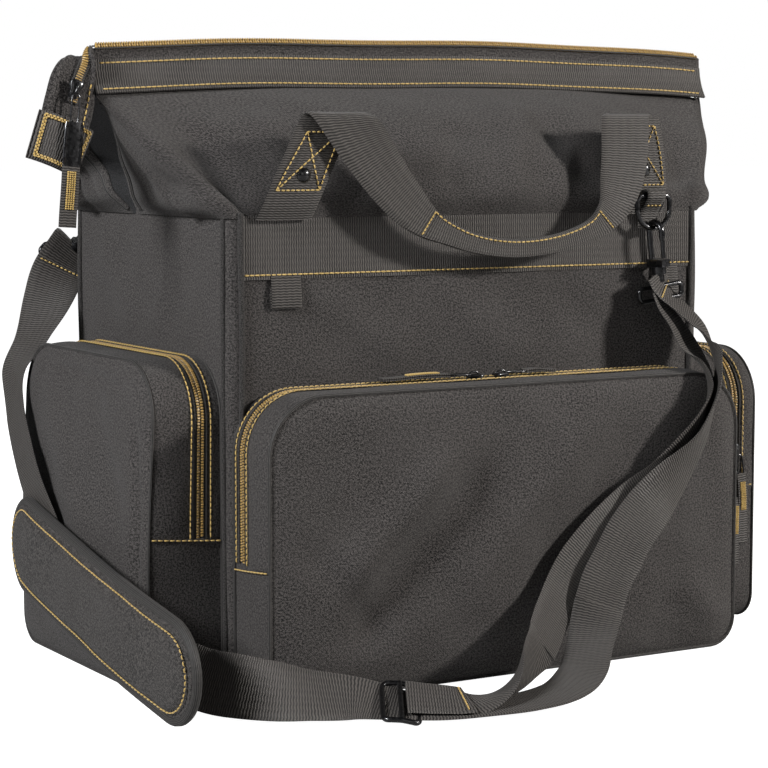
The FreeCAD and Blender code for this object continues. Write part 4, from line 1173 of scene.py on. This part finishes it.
def shoulder_pad():
    """Long oval foam pad in a fabric cover: swollen by a short cloth simulation, then bound and stitched."""
    length, width, thick, x_mid = 336.0, 72.0, 7.5, -298.5
    r, reach = width / 2, length / 2 - width / 2
    tilt = math.radians(10.7)
    middle = np.array([x_mid, -78.0, 37 + 133 * math.sin(tilt) + 2.4])

    def world(a, b, d):
        """a along the pad towards the back, b up it, d outwards."""
        a, b, d = np.broadcast_arrays(np.asarray(a, float), np.asarray(b, float), np.asarray(d, float))
        bend = 7.0 * (a / reach) ** 2 - 2.0 + 0.8 * np.sin(a / 30)
        y = middle[1] + a * math.cos(tilt) - b * math.sin(tilt)
        z = middle[2] + a * math.sin(tilt) + b * math.cos(tilt)
        return joined(middle[0] - d + bend * 0.55, y, z)

    n = 132
    outline = []
    for i in range(n):
        s = i / n * (4 * reach + 2 * math.pi * r)
        if s < 2 * reach:
            outline.append((-reach + s, -r))
        elif s < 2 * reach + math.pi * r:
            a = (s - 2 * reach) / r - math.pi / 2
            outline.append((reach + r * math.cos(a), r * math.sin(a)))
        elif s < 4 * reach + math.pi * r:
            outline.append((reach - (s - 2 * reach - math.pi * r), r))
        else:
            a = (s - 4 * reach - math.pi * r) / r + math.pi / 2
            outline.append((-reach + r * math.cos(a), r * math.sin(a)))
    outline = np.array(outline)
    spine = joined(np.clip(outline[:, 0], -reach, reach), outline[:, 1] * 0)

    def face_ring(k):
        return spine + (outline - spine) * k

    shell = Piece("pad_shell")
    ks = np.array([0.02, 0.25, 0.5, 0.72, 0.88, 0.97])
    rings = [world(*face_ring(k).T, thick / 2 * (1 - 0.25 * k**6)) for k in ks]
    rings += [world(*face_ring(1.0).T, 0.0)]
    rings += [world(*face_ring(k).T, -thick / 2 * (1 - 0.25 * k**6)) for k in ks[::-1]]
    shell.grid(np.stack(rings, axis=1), PAD_CLOTH, closed=True)
    mesh = bpy.data.meshes.new("pad_shell")
    mesh.from_pydata([tuple(v) for v in np.concatenate(shell.verts) * MM], [], shell.faces)
    pad = bpy.data.objects.new("pad_cover", mesh)
    bpy.context.scene.collection.objects.link(pad)
    remesh = pad.modifiers.new("even", "REMESH")
    remesh.mode, remesh.voxel_size = "VOXEL", 3.4 * MM
    apply_modifiers(pad)
    rest = points_of(pad)
    cloth = pad.modifiers.new("swell", "CLOTH")
    cloth.settings.use_pressure = True
    cloth.settings.uniform_pressure_force = 4.0
    cloth.settings.effector_weights.gravity = 0.0
    cloth.settings.tension_stiffness = cloth.settings.compression_stiffness = 22.0
    cloth.settings.bending_stiffness = 1.2
    scene = bpy.context.scene
    cloth.point_cache.frame_start, cloth.point_cache.frame_end = 1, 20
    for f in range(1, 21):
        scene.frame_set(f)
    apply_modifiers(pad)
    scene.frame_set(1)
    moved = points_of(pad) - rest
    moved[:, 1:] *= 0.15
    far = np.linalg.norm(moved, axis=1, keepdims=True)
    cap = 5.0 * MM
    set_points(pad, rest + moved * np.minimum(1.0, cap / np.maximum(far, 1e-9)))
    even_out = pad.modifiers.new("ease", "SMOOTH")
    even_out.factor, even_out.iterations = 0.5, 6
    finer = pad.modifiers.new("finer", "SUBSURF")
    finer.levels = finer.render_levels = 1
    apply_modifiers(pad)
    # The quilted edge is pinched between the two covers by the border seam.
    p = points_of(pad) / MM
    a = (p[:, 1] - middle[1]) * math.cos(tilt) + (p[:, 2] - middle[2]) * math.sin(tilt)
    b = -(p[:, 1] - middle[1]) * math.sin(tilt) + (p[:, 2] - middle[2]) * math.cos(tilt)
    from_spine = np.hypot(a - np.clip(a, -reach, reach), b)
    bend = 7.0 * (a / reach) ** 2 - 2.0 + 0.8 * np.sin(a / 30)
    mid_x = middle[0] + bend * 0.55
    pinch = 1 - 0.42 * np.exp(-((from_spine - (r - 6.5)) / 2.2) ** 2)
    soft = lumps(p, 40, 0.5, 9.1) * smooth((r - from_spine) / 12)
    p[:, 0] = mid_x + (p[:, 0] - mid_x) * pinch + soft
    set_points(pad, p * MM)
    pad.data.materials.append(PAD_CLOTH)
    layer = pad.data.attributes.new("cloth", "FLOAT_VECTOR", "POINT")
    layer.data.foreach_set("vector", (joined(a, b, p[:, 0] * 0.3) * MM).astype(np.float32).ravel())
    pad.data.shade_smooth()
    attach(pad, "strap_rear")
    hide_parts("shoulder_pad")

    trim = Piece("pad_binding")
    ring = face_ring(1.0)
    path = world(*(ring * 0.995).T, 0.0)
    trim.tube(path, 3.7, TAPE, sides=10, closed=True)
    inner = face_ring((r - 6.8) / r)
    inner = np.concatenate([inner, inner[:1]])
    outer_x = surface_x(pad, world(*inner.T, 0.0), -1)
    line = world(*inner.T, 0.0)
    line[:, 0] = outer_x
    trim.stitches(line, (-1, 0, 0), pitch=4.6, length=3.6, lift=0.2)
    line = line.copy()
    line[:, 0] = surface_x(pad, world(*inner.T, 0.0), 1)
    trim.stitches(line, (1, 0, 0), pitch=4.6, length=3.6, lift=0.2)
    trim.make("strap_rear", "piping")


def apply_modifiers(obj):
    depsgraph = bpy.context.evaluated_depsgraph_get()
    depsgraph.update()
    mesh = bpy.data.meshes.new_from_object(obj.evaluated_get(depsgraph))
    obj.modifiers.clear()
    obj.data = mesh


def points_of(obj):
    co = np.zeros(len(obj.data.vertices) * 3)
    obj.data.vertices.foreach_get("co", co)
    return co.reshape(-1, 3)


def set_points(obj, p):
    obj.data.vertices.foreach_set("co", np.asarray(p, np.float64).ravel())
    obj.data.update()


def surface_x(obj, path, way):
    """Where lines along X through path's points meet the object's left (way -1) or right (way 1) face."""
    p = points_of(obj) / MM
    out = []
    for q in path:
        near = np.hypot(p[:, 1] - q[1], p[:, 2] - q[2]) < 2.6
        out.append((p[near, 0].min() if way < 0 else p[near, 0].max()) if near.any() else q[0])
    out = np.array(out)
    return np.convolve(np.concatenate([out[-3:], out, out[:3]]), np.ones(7) / 7, mode="valid")


# ---------------------------------------------------------------- zip sliders and pulls
def slider(name, centre, run, out, size=1.0):
    """Zip slider: a shield-shaped plate over a smaller one, and the bridge that holds the pull."""
    run, out = unit(run), unit(out)
    side = np.cross(out, run)
    piece = Piece(name + "_body")
    shape = [(-6.4, 0), (-6.2, 2.2), (-4, 3), (0, 3.3), (3.4, 4.6), (5.6, 4.4), (6.4, 2.4), (6.6, 0)]
    outline = np.array(shape + [(a, -b) for a, b in shape[-2:0:-1]]) * size
    centre = np.asarray(centre, float)
    for low, high, spread in ((0.2, 2.2, 1.0), (-1.6, -0.3, 0.92)):
        rows = []
        section = ((0.02, low), (0.9, low), (1.0, low + 0.3), (1.0, high - 0.5), (0.88, high),
                   (0.45, high + 0.25), (0.02, high + 0.3))
        for k, d in section:
            q = outline * k * spread
            rows.append(centre + q[:, :1] * run + q[:, 1:] * side + out * d * size)
        piece.grid(np.stack(rows, axis=1), METAL, closed=True)
    arc = np.linspace(0, np.pi, 13)
    path = centre + np.outer(-4.2 * np.cos(arc) * size, run) + np.outer((2.0 + 2.3 * np.sin(arc)) * size, out)
    piece.tube(path, np.full(13, 0.85 * size), METAL, sides=8)
    piece.make(name, "black_metal", [name])


def pull(name, hinge, hang, out, length, width=10.0, tack=(22, 46), link=18, plate=0.0, sway=0.0):
    """Zip pull: a wire link on the slider, then folded tape with a yellow bartack."""
    hang, out = unit(hang), unit(out)
    side = np.cross(out, hang)
    hinge = np.asarray(hinge, float)
    piece = Piece(name + "_tape")
    w = 3.1
    loop = []
    for a in np.linspace(0, 2 * np.pi, 28, endpoint=False):
        c, s = math.cos(a), math.sin(a)
        loop.append(hinge + hang * (link / 2 - 1.0 + np.sign(c) * abs(c) ** 0.6 * link / 2)
                    + side * (np.sign(s) * abs(s) ** 0.6 * w) + out * (0.4 * c))
    piece.tube(np.array(loop), 0.8, METAL, closed=True, sides=8)
    start = link - 3.0
    if plate:
        t = np.linspace(0, 1, 12)
        path = hinge + np.outer(start - 1 + t * plate, hang) + np.outer(0.9 + 0.5 * np.sin(t * np.pi), out)
        piece.strip(path, side, 15.0 - 1.5 * np.abs(2 * t - 1) ** 4, 2.0, METAL, cupped=-0.5)
        for off in (-5.4, 5.4):
            piece.tube(path + side * off + out * 1.0, 0.7, METAL, sides=6)
        start += plate - 4.0
    t = np.linspace(0, 1, 26)
    drift = np.outer(sway * t**1.6, side) + np.outer(0.6 * np.sin(t * 5), out)
    path = hinge + np.outer(start + t * (length - start), hang) + drift
    upper = path + np.outer(0.9 * (1 - t * 0.3), out)
    lower = path - np.outer(0.9 * (1 - t * 0.3), out)
    data = piece.strip(upper, side, width, 1.3, WEBBING)
    piece.strip(lower, side, width, 1.3, WEBBING)
    facing = 1 if np.dot(data[2][5], out) > 0 else -1
    if tack:
        bartack(piece, data, 1.4, tack[0] - start, tack[1] - start, width * 0.2, facing)
    piece.make(name, "pull_tape", [name])


def sliders():
    up, front, top = (0, 0, 1), (0, -1, 0), 224 + 2.8
    for side, sx, length, tack, link in (("left", -1, 78, (27, 55), 22), ("right", 1, 44, None, 20)):
        slider("front_slider_" + side, (sx * 12.5, -155, top - 0.4), (-sx, 0, 0), up)
        hinge = (sx * 17.6, -155, top + 2.2)
        pull("front_pull_" + side, hinge, (sx, 0.02, 0.0), up, length, tack=tack, link=link)
    y = -126 - 0.9
    slider("right_slider_upper", (267, y, 147), up, front)
    pull("right_pull_upper", (270, y - 3.6, 143), (0.10, -0.02, -1), front, 74, sway=-4)
    slider("right_slider_lower", (267, y, 127), up, front)
    pull("right_pull_lower", (266, y - 3.6, 123), (-0.02, -0.02, -1), front, 72)
    slider("left_slider", (-234, 117.2, 129), up, (0, 1, 0))
    pull("left_pull", (-234, 120.8, 125), (0, 0.02, -1), (0, 1, 0), 66)


def zip_tail():
    """Loose end of the top zip: folded fabric, the last of its coil, a webbing patch, its slider and pull."""
    piece = Piece("zip_tail")
    rows = spline(np.array([  # centre, across, width
        (-283, -50, 474, 0.55, 0.0, 0.75, 10), (-291, -54, 466, 0.8, 0, 0.55, 22), (-299, -57, 452, 0.9, 0.1, 0.1, 33),
        (-303, -59, 436, 0.95, 0.1, -0.15, 38), (-308, -60, 420, 0.93, 0.05, -0.3, 37),
        (-315, -61, 405, 0.9, 0, -0.4, 34), (-321, -61, 393, 0.9, 0, -0.42, 34)], float), step=2.2)
    data = piece.strip(rows[:, :3], rows[:, 3:6], rows[:, 6], 3.2, POLYESTER, cupped=2.6)
    rear = rows[4:]
    piece.strip(rear[:, :3] + np.array([-2.0, 4.5, 0]), rear[:, 3:6], rear[:, 6] * 0.9, 2.2, POLYESTER, cupped=-2.0)
    facing = 1 if data[2][12][1] < 0 else -1
    v = np.linspace(2, 46, 30)
    path, normal = on_strip(data, 3.2, 3.0 - v * 0.05, v, facing)
    sidew = unit(np.cross(normal, np.gradient(path, axis=0)))
    piece.strip(path + normal * 0.4, sidew, 9.0, 0.9, TAPE)
    piece.coil(path + normal * 1.5, normal, sidew, reach=5.0, height=2.2, pitch=1.9)
    path, normal = on_strip(data, 3.2, 13.0, np.linspace(26, 60, 20), facing)
    piece.stitches(path, normal)
    # Webbing patch wrapped round the end, sewn with a box.
    patch = spline([(-333, -64.5, 413), (-321, -66.5, 409), (-307, -66.5, 403.5), (-295, -64, 398)], step=2.0)
    back = patch + np.array([0, 6.5, 0])
    data = piece.strip(patch, (-0.42, 0, -0.9), 37.0, 2.2, WEBBING, cupped=0.5)
    piece.strip(back, (-0.42, 0, -0.9), 37.0, 2.0, WEBBING)
    facing = 1 if data[2][5][1] < 0 else -1
    for inset in (2.6, 4.1):
        end, half = lengths(patch)[-1] - inset, 18.5 - inset
        box = [(-half, inset), (half, inset), (half, end), (-half, end), (-half, inset)]
        sew(piece, data, 2.3, box, facing, pitch=2.6, length=2.45, radius=0.75)
    piece.make("bag", "polyester", ["top_zip_tail"])
    slider("top_slider", (-302, -64.2, 445), (0.35, 0.0, 0.93), (0, -1, 0), size=1.15)
    pull("top_pull", (-303, -69.5, 441), (-0.10, -0.01, -1), (0, -1, 0), 97, width=13.5, tack=(56, 84), link=24,
         plate=32, sway=1.0)


handle("front", False)
handle("rear", True)
ring_keepers()
strap()
adjuster()
shoulder_pad()
sliders()
zip_tail()

for node in HOOK_PARTS:
    materials = frame["nodes"][node].data.materials
    materials.clear()
    materials.append(METAL)
